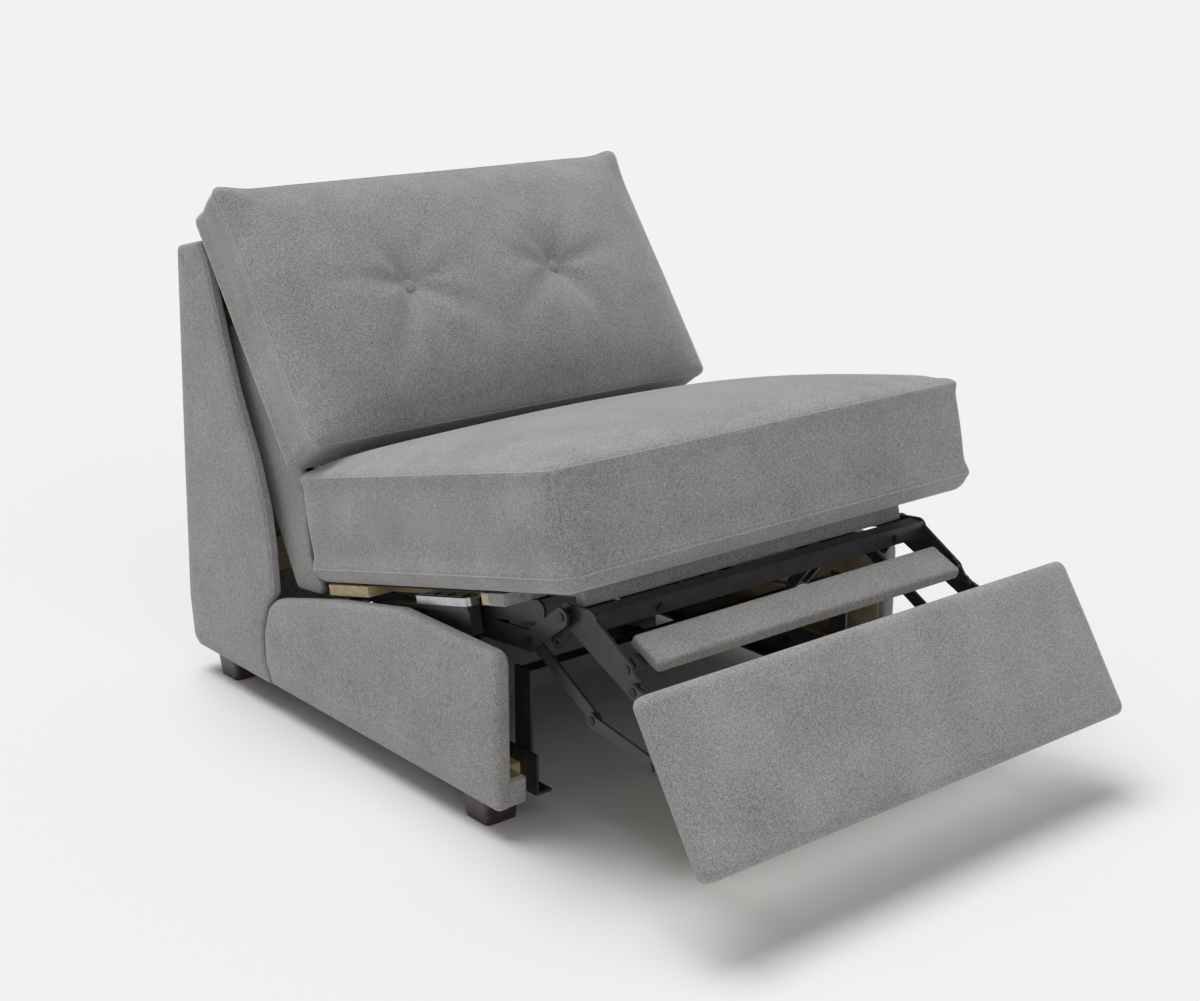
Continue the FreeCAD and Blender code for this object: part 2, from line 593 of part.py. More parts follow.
# Seat: steel side plates, cross tubes, boards, springs, deck cloth and cushion.
def build_seat():
    """Build the seat carriage."""
    hole = "pin_radius + pin_play"
    heads = {"front": ("seat_front_f", "seat_front_z"), "rear": ("seat_rear_f", "seat_rear_z"),
             "back": ("back_pivot_f", "back_pivot_z"), "link": ("rear_head_f", "rear_head_z"),
             "arm": ("arm_f", "arm_z")}
    for word, sign in sides():
        bars = [(heads["back"], heads["rear"], "26"), (heads["rear"], heads["front"], "25"),
                (heads["front"], heads["link"], "34"), (heads["link"], heads["arm"], "30"),
                (("688", "306"), ("950", "368"), "34")]
        eyes = [(heads["back"], "15", hole), (heads["rear"], "15", hole),
                (heads["front"], "17", hole), (heads["link"], "17", hole),
                (heads["arm"], "15", hole), (("950", "368"), "17", None)]
        plate = link(f"seat_plate_{word}", sign, "plate_x", bars, eyes)
        add_cut(plate, f"{sign} * plate_x", "2 * steel",
                lambda s: draw_circle(s, at("arm_f - 36", "arm_z - 5"), "4"))
        # Side boards: an outer strip, and an inner strip that spares the control panel.
        outer_middle = f"{sign} * ({plane_edge('outer_x', 1)} + 5 + board_out) / 2"
        outer_width = f"board_out - {plane_edge('outer_x', 1)} - 5"
        inner_middle = f"{sign} * (board_in + plate_x + 4) / 2"
        full_middle = f"{sign} * (board_in + board_out) / 2"
        full_width = "board_out - board_in"
        slabs = [(inner_middle, "plate_x + 4 - board_in",
                  rectangle("-board_length", "-board_thick", "-board_start", "0")),
                 (full_middle, full_width,
                  rectangle("-board_start - 24", "-board_thick", "-board_start", "0")),
                 (full_middle, full_width,
                  rectangle("-board_length", "-board_thick", "58 - board_length", "0"))]
        strip_end = "-board_start - 24" if sign < 0 else "-board_length"
        slabs.append((outer_middle, outer_width,
                      rectangle(strip_end, "-board_thick", "0", "0")))
        prism(f"seat_board_{word}", slabs, seat_frame())
        # A folded tab fixes each plate to its board.
        tab = rectangle("-440", "-board_thick - skin_gap - 3", "-140", "-board_thick - skin_gap")
        tab_middle = f"{sign} * ({plane_edge('plate_x', -1)} - skin_gap - 14)"
        prism(f"seat_tab_{word}", [(tab_middle, "28", tab)], seat_frame())
    cross = "2 * (board_in - skin_gap)"
    prism("seat_board_rear", [("0", cross, rectangle("-board_start - 56", "-board_thick",
                                                     "-board_start", "0"))], seat_frame())
    prism("seat_board_front", [("0", cross, rectangle("-board_length", "-board_thick",
                                                      "-board_length + 58", "0"))], seat_frame())
    tube_half = f"({plane_edge('plate_x', -1)} - skin_gap)"
    square_tube("seat_rear_tube", tube_half, "seat_tube_f", "seat_tube_z")
    square_tube("seat_front_tube", tube_half, "fore_tube_f", "fore_tube_z")
    apron = rectangle("-board_length - 92", "-apron_height", "-board_length - 72", "0")
    nose = rectangle("-board_length - 72", "-board_thick", "-board_length - skin_gap", "0")
    prism("seat_apron", [("0", "2 * apron_half", apron), ("0", "2 * apron_half", nose)],
          seat_frame())
    seat_pins = []
    for word, sign in sides():
        for end in ("front", "rear"):
            seat_pins.append(pin(sign, plane_edge("swing_x", -1), plane_edge("plate_x", 1),
                                 heads[end], (plane_edge("swing_x", 1) + " + skin_gap",
                                              plane_edge("plate_x", -1) + " - skin_gap",
                                              "pin_head")))
        seat_pins.append(pin(sign, plane_edge("plate_x", -1), plane_edge("outer_x", 1),
                             heads["back"], (plane_edge("plate_x", 1) + " + skin_gap",
                                             plane_edge("outer_x", -1) + " - skin_gap",
                                             "pin_head")))
        seat_pins.append(pin(sign, plane_edge("swing_x", -1), plane_edge("plate_x", 1),
                             heads["link"], (plane_edge("swing_x", 1) + " + skin_gap",
                                             plane_edge("plate_x", -1) + " - skin_gap",
                                             "pin_head")))
        seat_pins.append(pin(sign, plane_edge("web_x", -1), plane_edge("plate_x", 1),
                             heads["arm"], (plane_edge("web_x", 1) + " + skin_gap",
                                            plane_edge("plate_x", -1) + " - skin_gap",
                                            "pin_head")))
    group("seat_pivot_pins", seat_pins)


def polygon_wire(x, points, arcs):
    """Make a closed wire in the plane at x; arcs maps an edge's number to its mid-point."""
    count = len(points)
    edges = []
    for i in range(count):
        start, end = V(x, *points[i]), V(x, *points[(i + 1) % count])
        if i in arcs:
            edges.append(Part.Arc(start, V(x, *arcs[i]), end).toShape())
        else:
            edges.append(Part.makeLine(start, end))
    return Part.Wire(edges)


def soft_solid(name, sections, frame, cutters=()):
    """Loft a cushion through wires made in its own frame, then press in its tufts."""
    shape = Part.makeLoft([polygon_wire(*section) for section in sections], True, True)
    for cutter in cutters:
        shape = shape.cut(cutter)
    solid = doc.addObject("Part::Feature", name)
    solid.Label = name
    solid.Shape = shape
    forward, height, turn = frame
    solid.Placement = FreeCAD.Placement(V(0, val(f"origin_f - {forward}"), val(height)),
                                        FreeCAD.Rotation(X_AXIS, val(turn)))
    return node(solid)


def build_deck():
    """Build the seat's springs, deck cloth and cushion."""
    cloth = rectangle("-board_length", "skin_gap", "-board_start", "skin_gap + cloth")
    prism("seat_deck_cloth", [("0", "2 * (board_out - 5)", cloth)], seat_frame())
    group("seat_springs", sinuous(seat_frame(), "board_start + 56 + wire_end",
                                  "board_length - 58 - wire_end", "-7",
                                  [-270, -180, -90, 0, 90, 180, 270]))
    low, top = val("cloth + 2 * skin_gap"), val("seam_low + boxing")
    seam, rear, front = val("seam_low"), val("cushion_rear"), val("-cushion_length + cushion_rear")
    half, crown = val("cushion_half"), val("cushion_crown")
    sections = []
    for share in (-1, -0.955, -0.85, -0.6, -0.3, 0, 0.3, 0.6, 0.85, 0.955, 1):
        rise = crown * (1 - abs(share) ** 4) + 1
        edge = abs(share) > 0.99
        inset = 9 if edge else 0
        foot = seam - 5 if edge else (low + 4 if abs(share) > 0.9 else low)
        fore, aft = front + inset, rear - inset
        points = [(aft - 22, foot), (fore + 34, foot), (fore, seam), (fore, top),
                  (aft, top), (aft, seam)]
        middle = (fore + aft) / 2
        bulge = 0.5 if edge else 5
        arcs = {2: (fore - bulge, (seam + top) / 2), 3: (middle, top + rise)}
        sections.append((share * half, points, arcs))
    soft_solid("seat_cushion", sections, seat_frame())


def sinuous(frame, start, end, height, rows):
    """Make flat zigzag springs of round wire, one for each row, along a frame's -Y axis."""
    wires = []
    begin, finish, level = val(start), val(end), val(height)
    count = int((finish - begin) / 22) * 2
    turn = (finish - begin) / count
    for x in rows:
        edges = []
        for i in range(count):
            side = 18 if i % 2 else -18
            y = -(begin + i * turn)
            nxt = -(begin + (i + 1) * turn)
            if i:
                edges.append(Part.makeLine(V(x - side, y, level), V(x + side, y, level)))
            edges.append(Part.Arc(V(x + side, y, level),
                                  V(x + side + turn / 2 * (1 if side > 0 else -1),
                                    (y + nxt) / 2, level), V(x + side, nxt, level)).toShape())
        path = Part.Wire(edges)
        first = edges[0]
        tangent = first.tangentAt(first.FirstParameter)
        foot = first.valueAt(first.FirstParameter)
        circle = Part.Wire(Part.makeCircle(val("wire_radius"), foot, tangent))
        spring = doc.addObject("Part::Feature", "spring")
        spring.Shape = path.makePipeShell([circle], True, False)
        forward, up, angle = frame
        spring.Placement = FreeCAD.Placement(V(0, val(f"origin_f - {forward}"), val(up)),
                                             FreeCAD.Rotation(X_AXIS, val(angle)))
        wires.append(spring)
    return wires


def back_frame():
    """Frame of the back: origin at the foot of its rear face, turned with the back."""
    return ("back_f", "back_z", "-back_lean")


# Back: steel brackets, wooden frame with springs, wings, cushion and its tuft buttons.
def build_back():
    """Build the reclining back."""
    pivot = ("back_pivot_f", "back_pivot_z")
    for word, sign in sides():
        link(f"back_bracket_{word}", sign, "outer_x",
             [(pivot, ("345", "360"), "28"), (("345", "360"), ("279", "523.5"), "30")],
             [(pivot, "14", "pin_radius + pin_play"), (("345", "360"), "15", None),
              (("279", "523.5"), "15", None)])
        post = rectangle("skin_gap", "frame_low", "frame_depth", "frame_top")
        prism(f"back_post_{word}", [(f"{sign} * (frame_half - frame_bar / 2)", "frame_bar",
                                     post)], back_frame())
        inner, outer = "(frame_half + skin_gap)", "(wing_out - wing_thick - skin_gap)"
        blocks = []
        for low in (140, 232):
            slab = (f"{sign} * ({inner} + {outer}) / 2", f"{outer} - {inner}",
                    rectangle("6", low, "frame_depth - 4", low + 40))
            blocks.append(prism(f"wing_block_{word}_{low}", [slab], back_frame()))
            NODES.remove(blocks[-1])
        group(f"wing_blocks_{word}", blocks)
        wing = [at("103", "675"), at("148", "690"), at("185", "690"), at("204", "664"),
                at("268", "574"), at("332", "484"), at("350", "305"), at("394", "247"),
                at("302", "237"), at("150", "500")]
        middle = f"{sign} * (wing_out - wing_thick / 2)"
        flap = prism(f"wing_{word}", [(middle, "wing_thick", wing)])
        outer_face = sign * val("wing_out")
        soften(flap, "3.5", lambda e: all(abs(v.X - outer_face) < 1e-3 for v in e.Vertexes))
    cross = "2 * (frame_half - frame_bar - skin_gap)"
    for name, low in (("back_rail_low", "frame_low"), ("back_rail_top", "frame_top - 40")):
        prism(name, [("0", cross, rectangle("skin_gap", low, "frame_depth", f"{low} + 40"))],
              back_frame())
    forward, height, turn = back_frame()
    group("back_springs", sinuous((forward, height, turn + " - 90"),
                                  "frame_low + 40 + wire_end", "frame_top - 40 - wire_end",
                                  "10", [-260, -130, 0, 130, 260]))
    half, deep = val("back_half"), val("back_boxing")
    low, top, crown = val("frame_low"), val("back_length"), val("back_crown")
    sections = []
    for share in (-1, -0.96, -0.85, -0.6, -0.3, 0, 0.3, 0.6, 0.85, 0.96, 1):
        edge = abs(share) > 0.99
        inset = 7 if edge else 0
        near = -(deep - 4) if edge else -deep
        rise = crown * (1 - abs(share) ** 4) + 1
        foot, head = low + inset, top - inset
        points = [(-0.3, foot), (near, foot + 10), (near + 6, head), (-0.3, head)]
        arcs = {1: (near - rise, (foot + head) / 2), 2: ((near - 0.3) / 2, head + 9)}
        sections.append((share * half, points, arcs))
    bowl = (val("tuft_depth") ** 2 + 52 ** 2) / (2 * val("tuft_depth"))
    face = deep + crown
    tufts = [Part.makeSphere(bowl, V(side * val("tuft_x"),
                                     -(face - val("tuft_depth") + bowl) + 3, val("tuft_up")))
             for side in (-1, 1)]
    soft_solid("back_cushion", sections, back_frame(), tufts)
    buttons = []
    for side in (-1, 1):
        base = V(side * val("tuft_x"), -(face - val("tuft_depth") - 3 + 2.2), val("tuft_up"))
        disc = Part.makeCylinder(val("button_radius"), 9, base, V(0, -1, 0))
        rim = [e for e in disc.Edges if len(e.Vertexes) == 1
               and abs(e.Vertexes[0].Y - (base.y - 9)) < 1e-3]
        button = doc.addObject("Part::Feature", "button")
        button.Shape = disc.makeFillet(4, rim)
        button.Placement = FreeCAD.Placement(V(0, val("origin_f - back_f"), val("back_z")),
                                             FreeCAD.Rotation(X_AXIS, val("-back_lean")))
        buttons.append(button)
    group("back_tuft_buttons", buttons)


# Footrest linkage: arms on a torque tube, upper, rear and lower links, board brackets.
def build_linkage():
    """Build the footrest linkage on both sides."""
    hole = "pin_radius + pin_play"
    arm, tip = ("arm_f", "arm_z"), ("arm_tip_f", "arm_tip_z")
    tail, tube = ("arm_tail_f", "arm_tail_z"), ("torque_f", "torque_z")
    rear, knee = ("rear_head_f", "rear_head_z"), ("knee_f", "knee_z")
    upper, lower = ("upper_eye_f", "upper_eye_z"), ("lower_eye_f", "lower_eye_z")
    flap_pin, hinge = ("flap_pin_f", "flap_pin_z"), board_hinge()
    for word, sign in sides():
        link(f"main_arm_{word}", sign, "web_x",
             [(arm, tip, "arm_width"), (arm, tail, "26"), (arm, tube, "34"),
              (tube, flap_pin, "26"), (flap_pin, tip, "24")],
             [(arm, "19", hole), (tip, "14", hole), (tail, "13", "5"), (tube, "17", None),
              (flap_pin, "13", hole)])
        link(f"upper_link_{word}", sign, "swing_x", [(tip, upper, "22")],
             [(tip, "12", hole), (upper, "12", hole)])
        link(f"rear_link_{word}", sign, "swing_x", [(rear, knee, "22")],
             [(rear, "13", hole), (knee, "12", hole)])
        link(f"lower_link_{word}", sign, "plate_x", [(knee, lower, "20")],
             [(knee, "12", hole), (lower, "11", "pin_radius + slot_play")])
        link(f"board_bracket_{word}", sign, "outer_x",
             [(lower, upper, "22"), (upper, hinge, "17"), (lower, ("1236", "262"), "18"),
              (("1236", "262"), upper, "22")],
             [(lower, "12", hole), (upper, "12", hole), (hinge, "9", hole),
              (("1236", "262"), "10", None)])
    square_tube("torque_tube", f"({plane_edge('web_x', -1)} - skin_gap)", "torque_f",
                "torque_z")
    arm_pins, knee_pins, eye_pins = [], [], []
    for word, sign in sides():
        arm_pins.append(pin(sign, plane_edge("web_x", -1), plane_edge("swing_x", 1), tip,
                            sleeve("web_x", "swing_x")))
        arm_pins.append(pin(sign, plane_edge("inner_x", -1) + " + skin_gap",
                            plane_edge("web_x", 1), flap_pin, sleeve("inner_x", "web_x"),
                            flush=True))
        knee_pins.append(pin(sign, plane_edge("swing_x", -1), plane_edge("plate_x", 1), knee,
                             sleeve("swing_x", "plate_x")))
        eye_pins.append(pin(sign, plane_edge("swing_x", -1), plane_edge("outer_x", 1), upper,
                            sleeve("swing_x", "outer_x")))
        eye_pins.append(pin(sign, plane_edge("plate_x", -1), plane_edge("outer_x", 1), lower,
                            sleeve("plate_x", "outer_x")))
        eye_pins.append(pin(sign, plane_edge("plate_x", -1), plane_edge("outer_x", 1), hinge,
                            sleeve("plate_x", "outer_x")))
    group("arm_pins", arm_pins)
    for bundle, words in ((knee_pins, "knee_pins"), (eye_pins, "bracket_pins")):
        for pieces, (word, sign) in zip((bundle[:len(bundle) // 2],
                                         bundle[len(bundle) // 2:]), sides()):
            group(f"{words}_{word}", pieces)
    bolts = []
    for x in ("-(half_width - 215)", "half_width - 163"):
        face = "torque_f + tube_side / 2 + skin_gap"
        head = doc.addObject("Part::Cylinder", "bolt")
        head.Placement = FreeCAD.Placement(V(), FreeCAD.Rotation(X_AXIS, 90))
        head.setExpression("Placement.Base.x", ref(x))
        head.setExpression("Placement.Base.y", ref(f"origin_f - ({face})"))
        head.setExpression("Placement.Base.z", ref("torque_z - 3"))
        head.setExpression("Radius", ref("6.5"))
        head.setExpression("Height", ref("5"))
        bolts.append(head)
    group("torque_bolts", bolts)


def sleeve(inner_plane, outer_plane):
    """Spacer sleeve of a pin between two plates."""
    return (plane_edge(inner_plane, 1) + " + skin_gap",
            plane_edge(outer_plane, -1) + " - skin_gap", "pin_head")


def rest_frame():
    """Frame of the footrest pad: origin at its middle, turned with it."""
    return ("rest_f", "rest_z", "-rest_lean")


def board_hinge():
    """Hinge of the footrest board on its brackets, forward and height."""
    return ("(rest_f - hinge_back * cos(rest_lean) - hinge_up * sin(rest_lean))",
            "(rest_z + hinge_up * cos(rest_lean) - hinge_back * sin(rest_lean))")


# Footrest: padded board hinged on the brackets, and the middle pad on the main arms.
def build_rest():
    """Build the footrest board and the middle pad."""
    pad = prism("footrest_pad", [("0", "2 * rest_half", rectangle(
        "-rest_thick / 2", "-rest_height / 2", "rest_thick / 2", "rest_height / 2"))],
        rest_frame())
    soften(pad, "rest_round + 9", lambda e: abs(e.tangentAt(e.FirstParameter).y) > 0.9)
    soften(pad, "rest_round", lambda e: abs(min(v.Y for v in e.Vertexes)
                                            + val("rest_thick / 2")) < 1e-3
           and abs(max(v.Y for v in e.Vertexes) + val("rest_thick / 2")) < 1e-3)
    board = rectangle("rest_thick / 2 + skin_gap", "-rest_height / 2 + 12",
                      "rest_thick / 2 + skin_gap + rest_board", "rest_height / 2 - 12")
    prism("footrest_board", [("0", "2 * (rest_half - 14)", board)], rest_frame())
    back = "rest_thick / 2 + 2 * skin_gap + rest_board"
    for word, sign in sides():
        ear = [(back, "hinge_up - 34"), ("hinge_back", "hinge_up - 9"),
               ("hinge_back", "hinge_up + 9"), (back, "hinge_up + 12")]
        tab = rectangle(back, "hinge_up - 34", f"{back} + 2", "hinge_up + 12")
        eye = ("hinge_back", "hinge_up")
        middle = f"{sign} * plate_x"
        prism(f"board_ear_{word}", [(middle, "steel", ear),
                                    (f"{sign} * (plate_x - 14)", "28", tab)], rest_frame(),
              discs=[(middle, "steel", eye, "9")],
              holes=[(middle, "2 * steel", eye, "pin_radius + pin_play")])
    flap_frame = ("flap_f", "flap_z", "flap_slope")
    flap = prism("middle_pad", [("0", "2 * flap_half", rectangle(
        "-flap_depth / 2", "-flap_thick / 2", "flap_depth / 2", "flap_thick / 2"))], flap_frame)
    soften(flap, "6", lambda e: min(v.Z for v in e.Vertexes) > 0)
    under = "-flap_thick / 2 - skin_gap"
    bar = rectangle("-13", f"{under} - 4", "13", under)
    prism("middle_pad_bar", [("0", f"2 * ({plane_edge('inner_x', -1)} - skin_gap)", bar)],
          flap_frame)
    for word, sign in sides():
        link(f"middle_pad_ear_{word}", sign, "inner_x",
             [(("flap_pin_f", "flap_pin_z"), ("flap_f", "flap_z - 11"), "20")],
             [(("flap_pin_f", "flap_pin_z"), "10", "pin_radius + pin_play"),
              (("flap_f", "flap_z - 11"), "10", None)])


# Control panel on a steel shelf beside the seat, with three sprung buttons.
def build_controls():
    """Build the control panel on the sitter's right."""
    frame = seat_frame()
    shelf_in, shelf_out = f"({plane_edge('plate_x', 1)} + skin_gap)", "(panel_x + 15.5)"
    level = "-27.5"
    shelf = rectangle("-385", f"{level} - 3", "-135", level)
    lip = rectangle("-385", f"{level} - 8", "-135", level)
    prism("control_shelf", [(f"-({shelf_in} + {shelf_out}) / 2", f"{shelf_out} - {shelf_in}",
                             shelf), (f"-({shelf_out} - 1.5)", "3", lip)], frame)
    box = rectangle("-383", "-74", "-262", f"{level} - 3 - skin_gap")
    prism("control_box", [("-(panel_x + 1.5)", "21", box)], frame)
    middle_s = 310
    bezel = new_body("control_bezel", frame)
    rim = rectangle(f"-({middle_s} + rim_length / 2)", f"{level} + skin_gap",
                    f"-({middle_s} - rim_length / 2)", "-14")
    add_pad(bezel, "-panel_x", "rim_width", lambda s: draw_polygon(s, rim))
    NODES.append(bezel)
    soften(bezel, "10", lambda e: abs(e.tangentAt(e.FirstParameter).z) > 0.9)
    for i in (-1, 0, 1):
        y = f"-({middle_s} + {i} * key_pitch)"
        key = rectangle(f"{y} - key_length / 2 - 0.4", "-21", f"{y} + key_length / 2 + 0.4", "-13")
        add_cut(bezel, "-panel_x", "key_width + 0.8", lambda s, k=key: draw_polygon(s, k))
        word = {-1: "rear", 0: "middle", 1: "front"}[i]
        cap = rectangle(f"{y} - key_length / 2", "-19", f"{y} + key_length / 2",
                        "-14 + key_rise")
        button = prism(f"button_{word}", [("-panel_x", "key_width", cap)], frame)
        soften(button, "1.5", lambda e: min(v.Z for v in e.Vertexes) > val("-14"))


def actuator(name, x, pivot, end, rearward, jacket, inner, play):
    """Build a linear drive: housing with its tube, motor and rod, between two pins.

    Lengths run from the pivot toward the end; inner is where the rod starts.
    """
    way = 1 if rearward else -1
    run = f"(({end[0]}) - ({pivot[0]}))"
    rise = f"(({end[1]}) - ({pivot[1]}))"
    frame = (*pivot, f"-atan({rise} / {run})")
    reach = f"sqrt({run}^2 + {rise}^2)"

    def span(low, high, down, up):
        first, last = (low, high) if way > 0 else (f"-({high})", f"-({low})")
        return rectangle(first, down, last, up)

    def round_part(body, start, length, radius, offset, subtract=False):
        plane = "XZ_Plane"
        sketch = new_sketch(body, plane, f"{-way} * ({start})")
        draw_circle(sketch, (f"{x} + {offset}", "0"), radius)
        kind = "PartDesign::Pocket" if subtract else "PartDesign::Pad"
        feature = body.newObject(kind, "round")
        feature.Profile = sketch
        feature.Reversed = way > 0
        feature.setExpression("Length", ref(length))
        return feature

    housing = new_body(f"{name}_housing", frame)
    side = "box_side"
    add_pad(housing, f"{x} + {side} / 2", f"2 * {side}",
            lambda s: draw_polygon(s, span("18", f"18 + {side}", f"-{side} / 2", f"{side} / 2")))
    add_pad(housing, x, "eye_width", lambda s: draw_polygon(s, span("0", "19", "-9", "9")))
    add_pad(housing, x, "eye_width", lambda s: draw_circle(s, ("0", "0"), "9"))
    round_part(housing, f"17 + {side}", f"{jacket} - 17 - {side}", "jacket_radius", "0")
    round_part(housing, jacket, f"{jacket} - 30 - {side}", "rod_radius + pin_play", "0", True)
    add_cut(housing, x, "2 * eye_width", lambda s: draw_circle(s, ("0", "0"), "pin_radius + pin_play"))
    node(housing)
    motor = new_body(f"{name}_motor", frame)
    round_part(motor, f"18 + {side} + skin_gap", "motor_length", "motor_radius", side)
    node(motor)
    rod = new_body(f"{name}_rod", frame)
    round_part(rod, inner, f"{reach} - ({inner}) - 8", "rod_radius", "0")
    eye = (f"{way} * {reach}", "0")
    add_pad(rod, x, "eye_width", lambda s: draw_circle(s, eye, f"pin_radius + {play} + 4"))
    add_cut(rod, x, "2 * eye_width", lambda s: draw_circle(s, eye, f"pin_radius + {play}"))
    node(rod)


def lug_pair(name, x, feet, eye, width):
    """Build two plates that hold a drive's pin, with the pin through them.

    The feet are the plate's left and right corners on its tube, seen towards the eye.
    """
    left, right = feet
    middle = (f"(({left[0]}) + ({right[0]})) / 2", f"(({left[1]}) + ({right[1]})) / 2")
    outline = [at(*left), *strap(middle, eye, width)[1:3], at(*right)]
    slabs, discs, holes = [], [], []
    gap = "(eye_width / 2 + skin_gap + steel / 2)"
    for way in ("-", "+"):
        plane = f"{x} {way} {gap}"
        slabs.append((plane, "steel", outline))
        discs.append((plane, "steel", at(*eye), f"{width} / 2"))
        holes.append((plane, "2 * steel", at(*eye), "pin_radius + pin_play"))
    plates = prism(name, slabs, discs=discs, holes=holes)
    NODES.remove(plates)
    face = f"({gap} + steel / 2)"
    rod = fused([cylinder_x(f"{x} - {face} - 3", f"{x} + {face} + 3", *eye, "pin_radius"),
                 cylinder_x(f"{x} - {face} - 3", f"{x} - {face} - skin_gap", *eye, "pin_head"),
                 cylinder_x(f"{x} + {face} + skin_gap", f"{x} + {face} + 3", *eye, "pin_head")])
    group(f"{name}_and_pin", [plates, rod])


# Drives: one turns the torque tube of the footrest, the other pushes the seat.
def build_drives():
    """Build both linear drives with their lugs."""
    lift, push = "drive_x", "-drive_x"
    lift_rear, lift_front = ("lift_rear_f", "lift_rear_z"), ("lift_front_f", "lift_front_z")
    push_front, push_rear = ("push_front_f", "push_front_z"), ("push_rear_f", "push_rear_z")
    # The rods end in wide eyes, set so that the pins keep inside them as the chair moves.
    lift_eye = ("lift_front_f + 0.7", "lift_front_z - 1.2")
    push_eye = ("push_rear_f", "push_rear_z + 1.8")
    actuator("lift", lift, lift_rear, lift_eye, False, "280", "190", "2")
    actuator("push", push, push_front, push_eye, True, "280", "100", "6.9")
    half = "(tube_side / 2 + skin_gap)"
    face, level = f"seat_tube_f + {half}", "lift_rear_z"
    lug_pair("lift_lug", lift, ((face, f"{level} + 9"), (face, f"{level} - 11")), lift_rear,
             "20")
    low = f"torque_z - {half}"
    lug_pair("lift_crank", lift, (("torque_f + 12", low), ("torque_f - 13", low)), lift_front,
             "18")
    face, level = f"front_tube_f - {half}", "front_tube_z"
    lug_pair("push_lug", push, ((face, f"{level} - 10"), (face, f"{level} + 10")), push_front,
             "20")
    low = f"seat_tube_z - {half}"
    lug_pair("push_ear", push, (("seat_tube_f + 11", low), ("seat_tube_f - 11", low)),
             push_rear, "20")


# Small pieces of one kind share a node, as a group of separate solids.
GROUPS = {
    "shell_rails": ("shell_lower_rail", "shell_upper_rail"),
    "side_liners": ("side_liner_left", "side_liner_right"),
    "feet": ("foot_front_left", "foot_front_right", "foot_rear_left", "foot_rear_right"),
    "front_uprights": ("front_upright_left", "front_upright_right"),
    "base_tubes": ("base_front_tube", "base_rear_tube", "push_lug_and_pin"),
    "base_blocks": ("base_cleats_left", "base_cleats_right", "rear_block_left",
                    "rear_block_right"),
    "front_swing_links": ("front_swing_left", "front_swing_right"),
    "rear_swing_links": ("rear_swing_left", "rear_swing_right"),
    "seat_steelwork": ("seat_rear_tube", "seat_front_tube", "seat_tab_left", "seat_tab_right",
                       "lift_lug_and_pin", "push_ear_and_pin"),
    "seat_cross_boards": ("seat_board_rear", "seat_board_front"),
    "back_brackets": ("back_bracket_left", "back_bracket_right"),
    "back_frame": ("back_post_left", "back_post_right", "back_rail_low", "back_rail_top"),
    "wing_blocks": ("wing_blocks_left", "wing_blocks_right"),
    "torque_tube_and_crank": ("torque_tube", "lift_crank_and_pin"),
    "arm_fasteners": ("arm_pins", "torque_bolts"),
    "upper_links": ("upper_link_left", "upper_link_right"),
    "rear_links": ("rear_link_left", "rear_link_right"),
    "lower_links": ("lower_link_left", "lower_link_right"),
    "board_brackets": ("board_bracket_left", "board_bracket_right"),
    "knee_pins": ("knee_pins_left", "knee_pins_right"),
    "bracket_pins": ("bracket_pins_left", "bracket_pins_right"),
    "board_ears": ("board_ear_left", "board_ear_right"),
    "middle_pad_frame": ("middle_pad_bar", "middle_pad_ear_left", "middle_pad_ear_right"),
    "control_shelf_and_box": ("control_shelf", "control_box"),
    "lift_drive": ("lift_housing", "lift_motor"),
    "push_drive": ("push_housing", "push_motor"),
}


def gather_groups():
    """Put the pieces named in GROUPS into one node each."""
    for name, labels in GROUPS.items():
        pieces = [piece for piece in NODES if piece.Label in labels]
        for piece in pieces:
            NODES.remove(piece)
        group(name, pieces)


build_shell()
build_side_panels()
build_feet()
build_base()
build_swing()
build_seat()
build_deck()
build_back()
build_linkage()
build_rest()
build_controls()
build_drives()
gather_groups()

doc.recompute()
os.makedirs("parts", exist_ok=True)
faults = [f"{o.Name} ({o.Label}): {o.State}" for o in doc.Objects
          if "Invalid" in o.State or "Error" in o.State]
faults += [f"{o.Label}: bad shape" for o in NODES if o.Shape.isNull() or not o.Shape.isValid()]
if faults:
    raise SystemExit("\n".join(faults))
box = FreeCAD.BoundBox()
for piece in NODES:
    box.add(piece.Shape.BoundBox)
    piece.Shape.exportStep(f"parts/{piece.Label}.step")
print(len(NODES), "nodes, box", box, "middle y", round(box.Center.y, 2))
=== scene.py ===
"""Armless recliner in brushed grey cloth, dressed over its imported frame."""

import json
import logging
import math
from dataclasses import dataclass, field
from enum import Enum
from typing import Sequence

import bpy
import numpy as np
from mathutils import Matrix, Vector, kdtree
from mathutils.bvhtree import BVHTree
from mathutils.geometry import tessellate_polygon


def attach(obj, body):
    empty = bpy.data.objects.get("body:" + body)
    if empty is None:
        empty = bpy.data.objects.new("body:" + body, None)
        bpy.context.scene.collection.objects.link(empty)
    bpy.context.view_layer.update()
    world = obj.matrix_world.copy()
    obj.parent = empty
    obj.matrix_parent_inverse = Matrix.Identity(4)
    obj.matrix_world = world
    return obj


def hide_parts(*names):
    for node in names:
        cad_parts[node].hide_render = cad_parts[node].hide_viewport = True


logging.basicConfig(level=logging.INFO, format="%(message)s")
LOG = logging.getLogger("recliner")
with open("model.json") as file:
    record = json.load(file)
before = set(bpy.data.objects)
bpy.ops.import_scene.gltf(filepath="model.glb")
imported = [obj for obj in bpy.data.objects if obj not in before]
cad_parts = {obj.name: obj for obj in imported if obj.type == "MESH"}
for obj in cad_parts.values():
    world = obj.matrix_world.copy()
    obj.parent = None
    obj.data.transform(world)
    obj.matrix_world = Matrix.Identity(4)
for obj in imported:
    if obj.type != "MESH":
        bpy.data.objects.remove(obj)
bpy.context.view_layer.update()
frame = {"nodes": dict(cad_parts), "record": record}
MM = 0.001
ORIGIN_F = 697.0
